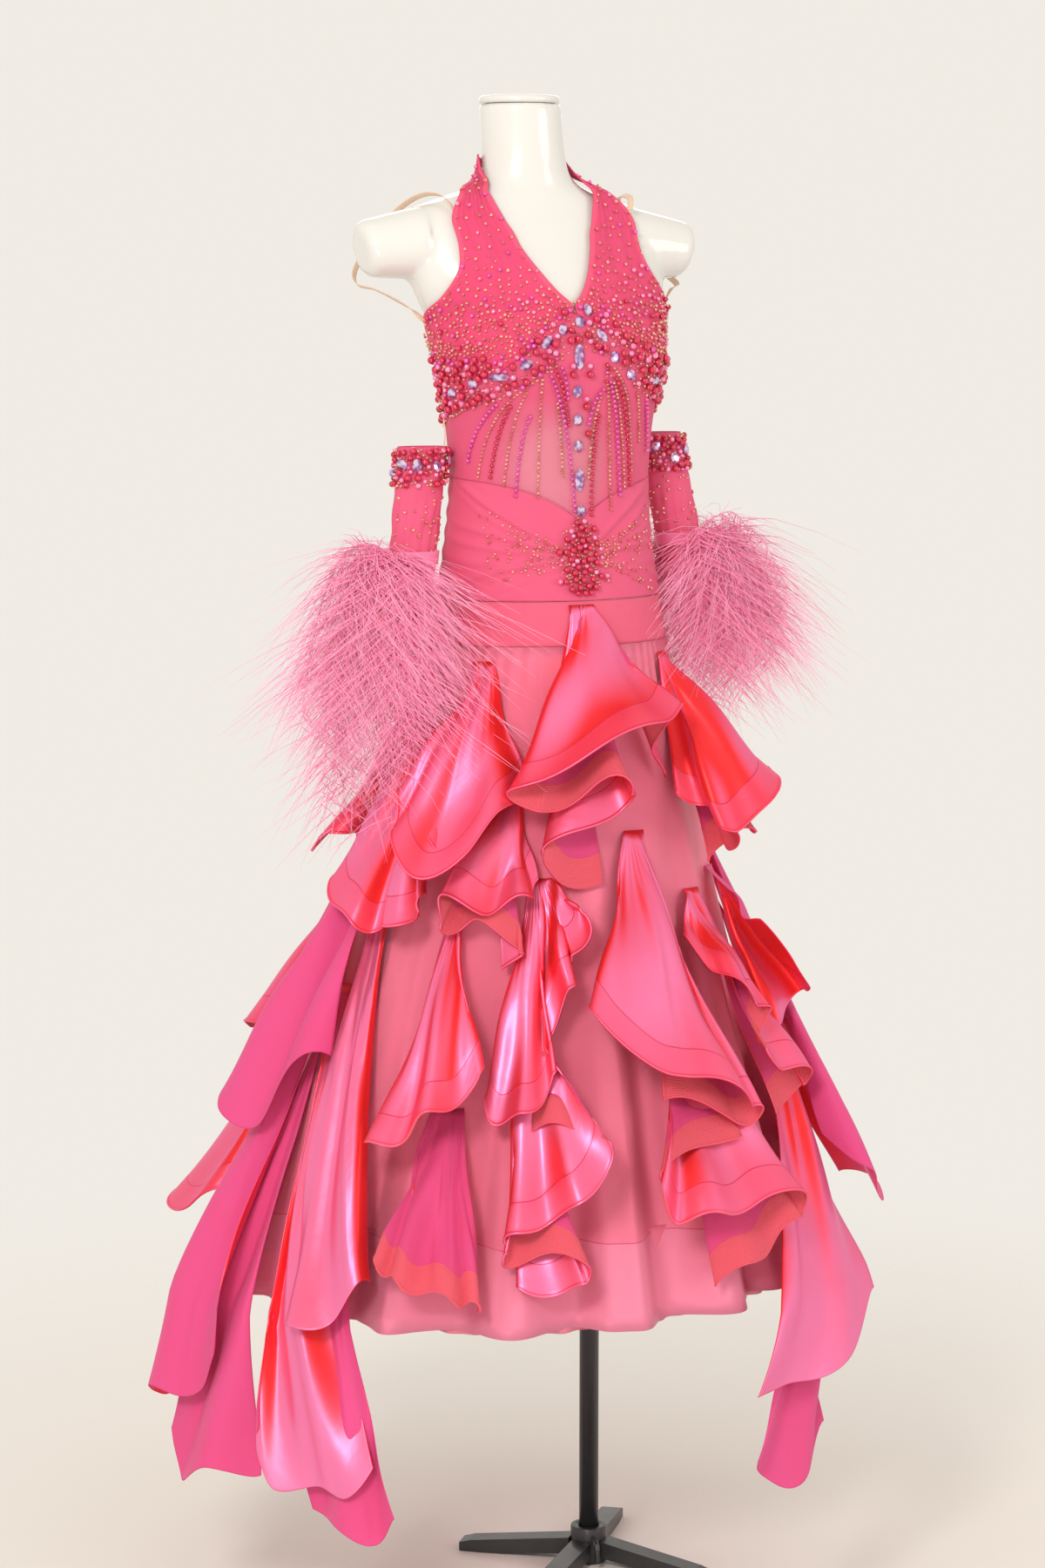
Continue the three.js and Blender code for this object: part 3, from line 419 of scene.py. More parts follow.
def put(tree, kind, settings=None, **inputs):
    node = tree.nodes.new(kind)
    for key, value in (settings or {}).items():
        setattr(node, key, value)
    for key, value in inputs.items():
        feed(tree, node.inputs[key.replace("_", " ")], value)
    return node


def maths(tree, operation, *values):
    node = put(tree, "ShaderNodeMath", {"operation": operation})
    for socket, value in zip(node.inputs, values):
        feed(tree, socket, value)
    return node.outputs[0]


def vectorMaths(tree, operation, *values):
    node = put(tree, "ShaderNodeVectorMath", {"operation": operation})
    for socket, value in zip(node.inputs, values):
        feed(tree, socket, value)
    return node.outputs["Value" if operation in ("DOT_PRODUCT", "DISTANCE", "LENGTH") else "Vector"]


def mapRange(tree, value, low=0.0, high=1.0, first=0.0, last=1.0, kind="LINEAR"):
    node = put(tree, "ShaderNodeMapRange", {"interpolation_type": kind}, Value=value, From_Min=low,
               From_Max=high, To_Min=first, To_Max=last)
    return node.outputs["Result"]


def noiseAt(tree, place, scale, detail=2.0):
    return put(tree, "ShaderNodeTexNoise", Vector=place, Scale=scale, Detail=detail).outputs["Fac"]


def blendColour(tree, factor, first, second):
    node = put(tree, "ShaderNodeMix", {"data_type": "RGBA"})
    feed(tree, node.inputs[0], factor)
    for socket, colour in ((node.inputs[6], first), (node.inputs[7], second)):
        feed(tree, socket, (*colour, 1) if isinstance(colour, tuple) else colour)
    return node.outputs[2]


def newGroup(name, takes, gives):
    group = bpy.data.node_groups.new(name, "ShaderNodeTree")
    for label, value in takes:
        socket = group.interface.new_socket(label, in_out="INPUT", socket_type="NodeSocketFloat")
        socket.default_value = value
    for label in gives:
        group.interface.new_socket(label, in_out="OUTPUT", socket_type="NodeSocketFloat")
    return group, group.nodes.new("NodeGroupInput").outputs, group.nodes.new("NodeGroupOutput").inputs


def makeGrain():  # crossed threads and a slow unevenness, in the cloth's own lengths
    group, takes, gives = newGroup("clothGrain", [("Threads", 1500), ("Cloudy", 25)],
                                   ["Height", "Shade"])
    cut = put(group, "ShaderNodeUVMap", {"uv_map": "cut"}).outputs["UV"]
    apart = put(group, "ShaderNodeSeparateXYZ", Vector=cut).outputs
    turns = maths(group, "MULTIPLY", takes["Threads"], 2 * math.pi)
    along = maths(group, "SINE", maths(group, "MULTIPLY", apart["X"], turns))
    across = maths(group, "SINE", maths(group, "MULTIPLY", apart["Y"], turns))
    weave = maths(group, "MULTIPLY", along, across)
    group.links.new(maths(group, "MULTIPLY_ADD", weave, 0.5, 0.5), gives["Height"])
    group.links.new(noiseAt(group, cut, takes["Cloudy"], 3.0), gives["Shade"])
    return group


stitchPlan = {"half": 0.0007, "drawn": 0.7}  # half a stitch's width, and its share of a step


def makeHem():  # the folded band along a hem, its line of stitches and its ribs
    group, takes, gives = newGroup("hemWork", [("Width", 0.038), ("Rib", 0.0022), ("Stitch", 0.003)],
                                   ["Band", "Stitches", "Ribs"])
    cut = put(group, "ShaderNodeUVMap", {"uv_map": "cut"}).outputs["UV"]
    apart = put(group, "ShaderNodeSeparateXYZ", Vector=cut).outputs
    band = maths(group, "LESS_THAN", apart["Y"], takes["Width"])
    gap = maths(group, "ABSOLUTE", maths(group, "SUBTRACT", apart["Y"], takes["Width"]))
    near = maths(group, "LESS_THAN", gap, stitchPlan["half"])
    step = maths(group, "FRACT", maths(group, "DIVIDE", apart["X"], takes["Stitch"]))
    stitch = maths(group, "MULTIPLY", near, maths(group, "LESS_THAN", step, stitchPlan["drawn"]))
    turns = maths(group, "DIVIDE", maths(group, "MULTIPLY", apart["Y"], 2 * math.pi), takes["Rib"])
    ribs = maths(group, "MULTIPLY", maths(group, "SINE", turns), band)
    group.links.new(band, gives["Band"])
    group.links.new(stitch, gives["Stitches"])
    group.links.new(ribs, gives["Ribs"])
    return group


gownAxis = (-0.07, 0, 0)  # in metres


def makePaintedSheen():  # a mask for the satin's painted sheen: 1 where the cloth faces straight out from the gown's axis, 0 where it turns away
    group, takes, gives = newGroup("paintedSheenMask", [("From", 0.42), ("To", 1.0)], ["Facing"])
    place = put(group, "ShaderNodeNewGeometry").outputs
    fromAxis = vectorMaths(group, "SUBTRACT", place["Position"], gownAxis)
    level = vectorMaths(group, "MULTIPLY", fromAxis, (1, 1, 0))
    meet = vectorMaths(group, "DOT_PRODUCT", vectorMaths(group, "NORMALIZE", level), place["Normal"])
    facing = maths(group, "ABSOLUTE", meet)
    group.links.new(mapRange(group, facing, takes["From"], takes["To"], kind="SMOOTHSTEP"),
                    gives["Facing"])
    return group


def makeSpeckle():  # a value that differs from bead to bead
    group, takes, gives = newGroup("beadMix", [("Scale", 160)], ["Value"])
    spot = put(group, "ShaderNodeTexCoord").outputs["Object"]
    group.links.new(noiseAt(group, spot, takes["Scale"], 0.0), gives["Value"])
    return group


groups = {"grain": makeGrain(), "hem": makeHem(), "facing": makePaintedSheen(), "speckle": makeSpeckle()}


def useGroup(tree, name, **inputs):
    node = tree.nodes.new("ShaderNodeGroup")
    node.node_tree = groups[name]
    for key, value in inputs.items():
        node.inputs[key].default_value = value
    return node.outputs


def newMaterial(name, **sockets):
    material = bpy.data.materials.new(name)
    material.use_nodes = True
    tree = material.node_tree
    shader = tree.nodes["Principled BSDF"]
    for key, value in sockets.items():
        shader.inputs[key.replace("_", " ")].default_value = value
    return material, tree, shader


def bumpBy(tree, shader, height, distance, strength):
    bump = put(tree, "ShaderNodeBump", Height=height, Distance=distance, Strength=strength)
    tree.links.new(bump.outputs["Normal"], shader.inputs["Normal"])


# Satin has a painted sheen: paler pink is painted where it faces out from the gown's axis, over deep red
# where it turns away. Widths are in metres.
satinLook = {"turned": (0.88, 0.03, 0.022), "facing": (0.84, 0.21, 0.42), "cloud": (0.80, 0.05, 0.13),
             "band": (0.90, 0.10, 0.20), "stitch": (0.62, 0.02, 0.07), "shine": (1.0, 0.5, 0.78, 1),
             "metal": 0.5, "rough": 0.38, "bandWidth": 0.038}
satinBackLook = {"shades": ((0.76, 0.045, 0.16), (0.70, 0.055, 0.23)), "band": (0.88, 0.105, 0.15),
                 "paintedGrooveShade": (0.66, 0.03, 0.07), "tint": (1.0, 0.45, 0.6, 1), "rough": 0.62,
                 "bandWidth": 0.036}


def satinFace(name="satinFace", banded=True):
    material, tree, shader = newMaterial(
        name, Metallic=satinLook["metal"], Roughness=satinLook["rough"], Specular_Tint=satinLook["shine"])
    facing = useGroup(tree, "facing")["Facing"]
    grain = useGroup(tree, "grain", Threads=1400, Cloudy=18)
    # painted sheen: pale pink where the cloth faces out, deep red where it turns away
    colour = blendColour(tree, facing, satinLook["turned"], satinLook["facing"])
    shade = maths(tree, "MULTIPLY", grain["Shade"], 0.22)
    colour = blendColour(tree, shade, colour, satinLook["cloud"])
    height = grain["Shade"]
    if banded:
        hem = useGroup(tree, "hem", Width=satinLook["bandWidth"])
        inBand = maths(tree, "MULTIPLY", hem["Band"], 0.45)
        colour = blendColour(tree, inBand, colour, satinLook["band"])
        colour = blendColour(tree, hem["Stitches"], colour, satinLook["stitch"])
        height = maths(tree, "MULTIPLY_ADD", hem["Stitches"], -0.25, grain["Shade"])
    tree.links.new(colour, shader.inputs["Base Color"])
    bumpBy(tree, shader, height, 0.0018, 0.55)
    return material


def satinBack():  # with the stiffened band's ribs along the hem, and painted shade in their grooves
    material, tree, shader = newMaterial("satinBack", Roughness=satinBackLook["rough"], Sheen_Weight=0.1,
                                         Sheen_Roughness=0.5, Sheen_Tint=satinBackLook["tint"])
    grain = useGroup(tree, "grain", Threads=1100, Cloudy=14)
    colour = blendColour(tree, grain["Shade"], *satinBackLook["shades"])
    hem = useGroup(tree, "hem", Width=satinBackLook["bandWidth"])
    colour = blendColour(tree, hem["Band"], colour, satinBackLook["band"])
    lines = maths(tree, "MULTIPLY", maths(tree, "MULTIPLY_ADD", hem["Ribs"], 0.5, 0.5), hem["Band"])
    # painted shade: the ribs' grooves are darkened
    colour = blendColour(tree, maths(tree, "MULTIPLY", lines, 0.30), colour, satinBackLook["paintedGrooveShade"])
    height = maths(tree, "MULTIPLY_ADD", lines, -3.0, grain["Height"])
    tree.links.new(colour, shader.inputs["Base Color"])
    bumpBy(tree, shader, height, 0.0003, 0.8)
    return material


# Plain cloths: two shades that the cloth wanders between, threads and clouds to the metre, and how
# its light spreads. A faced hem has a paler band of its own width.
clothLooks = {
    "matteFace": {"shades": ((0.76, 0.05, 0.19), (0.70, 0.06, 0.25)), "threads": 1100, "cloudy": 10,
                  "rough": 0.6, "sheen": 0.15, "tint": (1.0, 0.5, 0.75, 1), "alpha": 1.0},
    "mesh": {"shades": ((0.78, 0.065, 0.18), (0.75, 0.052, 0.155)), "threads": 900, "cloudy": 30,
             "rough": 0.75, "sheen": 0.12, "tint": (1.0, 0.55, 0.7, 1), "alpha": 0.95},
    "drapedMesh": {"shades": ((0.78, 0.105, 0.22), (0.75, 0.085, 0.19)), "threads": 900, "cloudy": 30,
                   "rough": 0.75, "sheen": 0.12, "tint": (1.0, 0.6, 0.75, 1), "alpha": 0.93},
    "binding": {"shades": ((0.86, 0.085, 0.19), (0.84, 0.075, 0.17)), "threads": 1300, "cloudy": 40,
                "rough": 0.6, "sheen": 0.1, "tint": (1.0, 0.6, 0.7, 1), "alpha": 1.0},
    "crepe": {"shades": ((0.80, 0.115, 0.21), (0.77, 0.10, 0.185)), "threads": 1700, "cloudy": 60,
              "rough": 0.68, "sheen": 0.1, "tint": (1.0, 0.6, 0.65, 1), "alpha": 1.0},
    "georgette": {"shades": ((0.90, 0.22, 0.35), (0.88, 0.17, 0.27)), "threads": 1500, "cloudy": 9,
                  "rough": 0.36, "sheen": 0.2, "tint": (1.0, 0.6, 0.72, 1), "alpha": 0.95, "metal": 0.42,
                  "hem": {"width": 0.1, "band": (0.88, 0.28, 0.43), "stitch": (0.70, 0.06, 0.15)}},
    "net": {"shades": ((0.90, 0.20, 0.32), (0.86, 0.16, 0.26)), "threads": 500, "cloudy": 20,
            "rough": 0.7, "sheen": 0.4, "tint": (1.0, 0.6, 0.7, 1), "alpha": 0.7},
    "elastic": {"shades": ((0.85, 0.62, 0.45), (0.82, 0.58, 0.41)), "threads": 1500, "cloudy": 40,
                "rough": 0.6, "sheen": 0.2, "tint": (1.0, 0.9, 0.8, 1), "alpha": 1.0},
}


def plainCloth(name):
    look = clothLooks[name]
    material, tree, shader = newMaterial(
        name, Roughness=look["rough"], Sheen_Weight=look["sheen"], Sheen_Roughness=0.45,
        Sheen_Tint=look["tint"], Alpha=look["alpha"], Metallic=look.get("metal", 0.0))
    grain = useGroup(tree, "grain", Threads=look["threads"], Cloudy=look["cloudy"])
    colour = blendColour(tree, grain["Shade"], *look["shades"])
    height = grain["Height"]
    if "hem" in look:
        hem = useGroup(tree, "hem", Width=look["hem"]["width"])
        colour = blendColour(tree, maths(tree, "MULTIPLY", hem["Band"], 0.5), colour, look["hem"]["band"])
        colour = blendColour(tree, hem["Stitches"], colour, look["hem"]["stitch"])
        height = maths(tree, "SUBTRACT", grain["Height"], hem["Stitches"])
    tree.links.new(colour, shader.inputs["Base Color"])
    bumpBy(tree, shader, height, 0.00025, 0.7)
    return material


# Beads: their two shades, how metallic they are and how sharp their shine is.
beadLooks = {
    "pearlCrimson": {"shades": ((0.50, 0.004, 0.035), (0.66, 0.012, 0.08)), "metal": 0.25, "rough": 0.22},
    "pearlPink": {"shades": ((0.86, 0.17, 0.36), (0.90, 0.30, 0.50)), "metal": 0.25, "rough": 0.2},
    "pearlMagenta": {"shades": ((0.66, 0.05, 0.32), (0.80, 0.10, 0.46)), "metal": 0.3, "rough": 0.22},
    "stoneRose": {"shades": ((0.66, 0.20, 0.15), (0.96, 0.62, 0.44)), "metal": 0.75, "rough": 0.12},
    "stoneLilac": {"shades": ((0.30, 0.14, 0.42), (0.80, 0.66, 0.88)), "metal": 0.75, "rough": 0.04},
}


def beadMaterial(name):
    look = beadLooks[name]
    material, tree, shader = newMaterial(name, Metallic=look["metal"], Roughness=look["rough"],
                                         Coat_Weight=0.8, Coat_Roughness=0.05)
    value = useGroup(tree, "speckle", Scale=170)["Value"]
    tree.links.new(blendColour(tree, mapRange(tree, value, 0.35, 0.65), *look["shades"]),
                   shader.inputs["Base Color"])
    return material


# The midriff's mesh is stretched most over the belly, and the form shows through it there. Places
# and distances are in metres.
sheerLook = {"full": (0.80, 0.10, 0.215), "thin": (0.88, 0.21, 0.33), "belly": (-0.085, -0.09, 1.37),
             "reach": (0.03, 0.10), "alpha": (0.45, 0.84)}


def sheerMesh():
    material, tree, shader = newMaterial("sheerMesh", Roughness=0.75, Sheen_Weight=0.12,
                                         Sheen_Roughness=0.45, Sheen_Tint=(1.0, 0.6, 0.75, 1))
    grain = useGroup(tree, "grain", Threads=900, Cloudy=30)
    place = put(tree, "ShaderNodeNewGeometry").outputs["Position"]
    away = vectorMaths(tree, "DISTANCE", place, sheerLook["belly"])
    full = mapRange(tree, away, *sheerLook["reach"], kind="SMOOTHSTEP")
    least, most = sheerLook["alpha"]
    tree.links.new(maths(tree, "MULTIPLY_ADD", full, most - least, least), shader.inputs["Alpha"])
    tree.links.new(blendColour(tree, full, sheerLook["thin"], sheerLook["full"]),
                   shader.inputs["Base Color"])
    bumpBy(tree, shader, grain["Height"], 0.00025, 0.7)
    return material


featherLook = {"root": (0.88, 0.20, 0.38), "tip": (0.94, 0.48, 0.66), "fleck": (0.86, 0.17, 0.40)}


def featherMaterial():  # paler towards each flue's tip
    material, tree, shader = newMaterial("featherFlue", Roughness=0.6, Sheen_Weight=0.6,
                                         Sheen_Roughness=0.4, Sheen_Tint=(1.0, 0.7, 0.85, 1))
    cut = put(tree, "ShaderNodeUVMap", {"uv_map": "cut"}).outputs["UV"]
    along = put(tree, "ShaderNodeSeparateXYZ", Vector=cut).outputs["Y"]
    value = useGroup(tree, "speckle", Scale=90)["Value"]
    colour = blendColour(tree, along, featherLook["root"], featherLook["tip"])
    colour = blendColour(tree, maths(tree, "MULTIPLY", value, 0.5), colour, featherLook["fleck"])
    tree.links.new(colour, shader.inputs["Base Color"])
    return material


hardLooks = {
    "formShell": {"shades": ((0.72, 0.70, 0.665), (0.68, 0.66, 0.62)), "rough": (0.14, 0.28)},
    "standPaint": {"shades": ((0.012, 0.012, 0.013), (0.03, 0.03, 0.032)), "rough": (0.3, 0.5)},
}


def formMaterial():
    look = hardLooks["formShell"]
    material, tree, shader = newMaterial("formShell", Coat_Weight=0.7, Coat_Roughness=0.06)
    spot = put(tree, "ShaderNodeTexCoord").outputs["Object"]
    tree.links.new(blendColour(tree, noiseAt(tree, spot, 5.0, 4.0), *look["shades"]),
                   shader.inputs["Base Color"])
    fine = noiseAt(tree, spot, 26.0, 3.0)
    tree.links.new(mapRange(tree, fine, 0.0, 1.0, *look["rough"]), shader.inputs["Roughness"])
    bumpBy(tree, shader, fine, 0.0006, 0.25)
    return material


def standMaterial():
    look = hardLooks["standPaint"]
    material, tree, shader = newMaterial("standPaint", Coat_Weight=0.2)
    spot = put(tree, "ShaderNodeTexCoord").outputs["Object"]
    cloud = noiseAt(tree, spot, 40.0, 5.0)
    tree.links.new(blendColour(tree, cloud, *look["shades"]), shader.inputs["Base Color"])
    tree.links.new(mapRange(tree, cloud, 0.0, 1.0, *look["rough"]), shader.inputs["Roughness"])
    bumpBy(tree, shader, noiseAt(tree, spot, 900.0), 0.0002, 0.3)
    return material


def floorMaterial():  # fades out at its rim, so that the floor has no edge
    material, tree, shader = newMaterial("floorPaper", Base_Color=(*room["floor"], 1), Roughness=0.85)
    away = vectorMaths(tree, "LENGTH", put(tree, "ShaderNodeTexCoord").outputs["Object"])
    fade = mapRange(tree, away, room["fadeFrom"], 0.85 * room["floorRadius"], 1.0, 0.0, "SMOOTHSTEP")
    tree.links.new(fade, shader.inputs["Alpha"])
    return material


looks = {name: plainCloth(name) for name in clothLooks}
looks.update({name: beadMaterial(name) for name in beadLooks})
looks.update(satin=satinFace(), satinBack=satinBack(), satinCurl=satinFace("satinCurl", False),
             sheerMesh=sheerMesh(), feather=featherMaterial(), form=formMaterial(), stand=standMaterial())
print("materials made:", len(looks))


# Surfaces of the form, the bodice and the skirt. out is a distance from the surface.

def onForm(az, z):
    angle = np.radians(az)
    turn = (az + 540) % 360 - 180  # between -180 and 180
    cups = bell(turn - bust["az"], bust["width"]) + bell(turn + bust["az"], bust["width"])
    cup = bust["lift"] * bell(z - bust["z"], bust["height"]) * cups
    a = readSmooth(formSections, "a", z) + cup
    b = readSmooth(formSections, "b", z) + cup
    return np.stack([readSmooth(formSections, "x", z) + a * np.sin(angle),
                     readSmooth(formSections, "y", z) - b * np.cos(angle), z + 0 * angle], axis=-1)


def offForm(az, z, out):
    az, z, out = np.broadcast_arrays(np.asarray(az, float), np.asarray(z, float), out)
    over = onForm(az + 0.5, z) - onForm(az - 0.5, z)
    rise = onForm(az, np.minimum(sizes["neckTop"], z + 0.5)) - onForm(az, z - 0.5)
    return onForm(az, z) + unit(np.cross(over, rise)) * out[..., None]


def halterEdges(t):
    columns = ("az", "z", "azOut", "zOut", "sag")
    return readAlong([[row[name] for name in columns] for row in halterRows], t)


shoulderRise = {"z": 1690, "height": 24, "lift": 2.5}  # the fronts stand off over the shoulder


def halterPoint(side, u, t, out=0.0):
    edges = halterEdges(t)
    az = mix(edges[..., 0], edges[..., 2], u)
    z = mix(edges[..., 1], edges[..., 3], u) - edges[..., 4] * np.sin(math.pi * u)
    rise = shoulderRise["lift"] * bell(z - shoulderRise["z"], shoulderRise["height"])
    return offForm(side * az, z, sizes["bodiceLift"] + rise + out)


def halterLower(az):
    last = halterRows[-1]
    u = np.clip((np.abs(az) - last["az"]) / (last["azOut"] - last["az"]), 0, 1)
    return mix(last["z"], last["zOut"], u) - last["sag"] * np.sin(math.pi * u)


wrapEdge = {"sides": 1356, "point": 52, "width": 26}  # its top edge falls to a point in front


def wrapTop(az):
    return wrapEdge["sides"] - wrapEdge["point"] * np.exp(-np.abs(az) / wrapEdge["width"])


def overSkirt(az, z, out):
    angle = np.radians(az)
    a = readStraight(skirtSections, "a", z) + out
    b = readStraight(skirtSections, "b", z) + out
    return np.stack([readStraight(skirtSections, "x", z) + a * np.sin(angle), -b * np.cos(angle),
                     z + 0 * angle], axis=-1)


def dip(az, z):
    return readStraight(skirtSections, "wave", z) * (1 - np.cos(np.radians(sizes["skirtWaves"] * az)))


def onSkirt(az, z, out):
    return overSkirt(az, z, out - dip(az, z))


fanBend = {"flare": 0.85, "fall": 1.15, "hollow": 6}  # for fans that don't give their own


def fanPoint(fan, u, t):
    seamAz = fan["az"] + fan["spread"] * (u - 0.5)
    hem = readAlong(fan["hem"], u)
    az = mix(seamAz, hem[..., 0], t ** fan.get("flare", fanBend["flare"]))
    z = mix(fan["z"], hem[..., 1], t)
    out = mix(sizes["flounceRise"], hem[..., 2], t ** fan.get("fall", fanBend["fall"]))
    hollow = np.minimum(dip(az, z), dip(seamAz, fan["z"]) * (1 - t) ** fanBend["hollow"])
    return overSkirt(az, z, out - hollow)


# Form and stand.

def ringsMesh(name, loops):  # a closed body through rings of equal count
    loops = np.asarray(loops)
    levels, count = loops.shape[:2]
    j, i = np.meshgrid(np.arange(levels - 1), np.arange(count), indexing="ij")
    j = j.ravel()
    i = i.ravel()
    k = (i + 1) % count
    sides = np.stack([j * count + i, j * count + k, (j + 1) * count + k, (j + 1) * count + i], axis=1)
    middles = np.stack([loops[0].mean(axis=0), loops[-1].mean(axis=0)])
    points = np.concatenate([loops.reshape(-1, 3), middles])
    body = bmesh.new()
    verts = [body.verts.new(point * mm) for point in points]
    for face in sides:
        body.faces.new([verts[n] for n in face])
    top = (levels - 1) * count
    for n in range(count):
        body.faces.new([verts[(n + 1) % count], verts[n], verts[-2]])
        body.faces.new([verts[top + n], verts[top + (n + 1) % count], verts[-1]])
    bmesh.ops.recalc_face_normals(body, faces=body.faces)
    mesh = bpy.data.meshes.new(name)
    body.to_mesh(mesh)
    body.free()
    return mesh


def shadeSmooth(mesh, smooth=True):
    for face in mesh.polygons:
        face.use_smooth = smooth


def latheMesh(name, plan):  # a turned body; its outline gives radius and height
    turn = np.linspace(0, 2 * math.pi, plan["sides"], endpoint=False)
    x, y = plan.get("centre", (0, 0))
    loops = []
    for radius, z in plan["outline"]:
        radius = max(radius, 0.05)
        loops.append(np.stack([x + radius * np.cos(turn), y + radius * np.sin(turn),
                               np.full(plan["sides"], float(z))], axis=1))
    mesh = ringsMesh(name, loops)
    shadeSmooth(mesh)
    return mesh


# The torso and its two arm stubs are joined with voxels, in metres, and softened.
formPlan = {"sides": 120, "step": 6, "voxel": 0.005, "softenings": 5}
capPlan = {"centre": (-87, 16), "sides": 96, "outline": [
    (0, 1791), (47.5, 1791), (47.5, 1796.5), (46.6, 1798.4), (44.5, 1799.7), (42, 1800), (0, 1800)]}

# Each stub's rings: how far along it they are, and how much narrower than its taper.
stubPlan = {"x": 138, "z": 1628, "y": 8, "reach": 70, "fall": 8, "radius": 45, "end": 34, "sides": 48,
            "cant": 0.2, "flat": 0.95, "centre": -82,
            "rings": ((0, 0), (0.5, 0), (0.86, 0), (0.93, 1.2), (0.98, 3.8), (1, 7))}


def stubRings(side):
    turn = np.linspace(0, 2 * math.pi, stubPlan["sides"], endpoint=False)[::side]
    loops = []
    for s, inset in stubPlan["rings"]:
        radius = mix(stubPlan["radius"], stubPlan["end"], s) - inset
        out = stubPlan["x"] + stubPlan["reach"] * s + np.sin(turn) * radius * stubPlan["cant"] * s
        loops.append(np.stack([stubPlan["centre"] + side * out, stubPlan["y"] + np.cos(turn) * radius,
                               stubPlan["z"] - stubPlan["fall"] * s
                               + np.sin(turn) * radius * stubPlan["flat"]], axis=1))
    return loops


def addForm():
    az = np.linspace(0, 360, formPlan["sides"], endpoint=False)
    top = sizes["neckTop"] - sizes["neckCap"] - sizes["seamGap"]
    levels = np.arange(sizes["formBottom"], top, formPlan["step"])
    loops = [onForm(az, np.full_like(az, z)) for z in [*levels, top]]
    body = bmesh.new()
    for number, part in enumerate([loops, stubRings(1), stubRings(-1)]):
        mesh = ringsMesh("formPart%d" % number, part)
        body.from_mesh(mesh)
        bpy.data.meshes.remove(mesh)
    mesh = bpy.data.meshes.new("form_body")
    body.to_mesh(mesh)
    body.free()
    piece = bpy.data.objects.new("form_body", mesh)
    bpy.context.scene.collection.objects.link(piece)
    remesh = piece.modifiers.new("join", "REMESH")
    remesh.mode = "VOXEL"
    remesh.voxel_size = formPlan["voxel"]
    soften = piece.modifiers.new("soften", "SMOOTH")
    soften.iterations = formPlan["softenings"]
    soften.factor = 0.5
    bpy.context.view_layer.update()
    joined = bpy.data.meshes.new_from_object(piece.evaluated_get(bpy.context.evaluated_depsgraph_get()))
    bpy.data.objects.remove(piece)
    shadeSmooth(joined)
    joined.name = "form_body"
    addPiece("form_body", joined, [looks["form"]], ["form_torso"])
    addPiece("form_cap", latheMesh("form_cap", capPlan), [looks["form"]], ["form_neck_cap"])


polePlan = {"sides": 48, "outline": [(0, 20.3), (12, 20.3), (12, 999.7), (0, 999.7)]}
hubPlan = {"sides": 64, "outline": [
    (0, 0), (21.5, 0), (22.5, 1), (22.5, 44), (21.9, 45.4), (20.5, 46), (12.3, 46), (12.3, 20), (0, 20)]}
edgePlan = {"width": 0.0012, "segments": 2}


def addStand():  # the legs, the clamp and the armlets' threads keep their solids' own form
    addPiece("pole", latheMesh("pole", polePlan), [looks["stand"]], ["stand_pole"])
    addPiece("hub", latheMesh("hub", hubPlan), [looks["stand"]], ["stand_hub"])
    for name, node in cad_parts.items():
        if name.startswith("stand_"):
            node.data.materials.clear()
            node.data.materials.append(looks["stand"])
            bevel = node.modifiers.new("edges", "BEVEL")
            bevel.width = edgePlan["width"]
            bevel.segments = edgePlan["segments"]
            bevel.limit_method = "ANGLE"
        if name.startswith("hanger_"):
            node.data.materials.clear()
            node.data.materials.append(looks["elastic"])


# Bodice. The fronts have a bound edge of fixed width, and gathers pulled up into the neck.
creaseColumns = ("at", "lean", "top", "foot", "wide", "deep")
frontPlan = {"rows": 96, "columns": 64, "binding": 6.0, "boundColumns": 4, "lift": 0.45,
             "gathers": 9, "gatherDeep": 0.8, "creases": rowsOf(creaseColumns, [
                 (0.30, 0.25, 0.2, 0.95, 0.05, -1.0), (0.52, 0.10, 0.1, 0.8, 0.06, 0.9),
                 (0.74, -0.15, 0.3, 1.0, 0.05, -0.8)])}
neckbandPlan = {"columns": 60, "rows": 8, "behind": 0.7, "sag": 6, "half": 0.8}


def boundColumns(widths):  # u of each column, so that both edges keep the binding's width
    share = np.clip(frontPlan["binding"] / widths, 0, 0.3)[:, None]
    edge = frontPlan["boundColumns"]
    left = np.linspace(0, 1, edge + 1)[None, :-1] * share
    middle = share + np.linspace(0, 1, frontPlan["columns"] + 1)[None, :] * (1 - 2 * share)
    right = 1 - share + np.linspace(0, 1, edge + 1)[None, 1:] * share
    return np.concatenate([left, middle, right], axis=1)


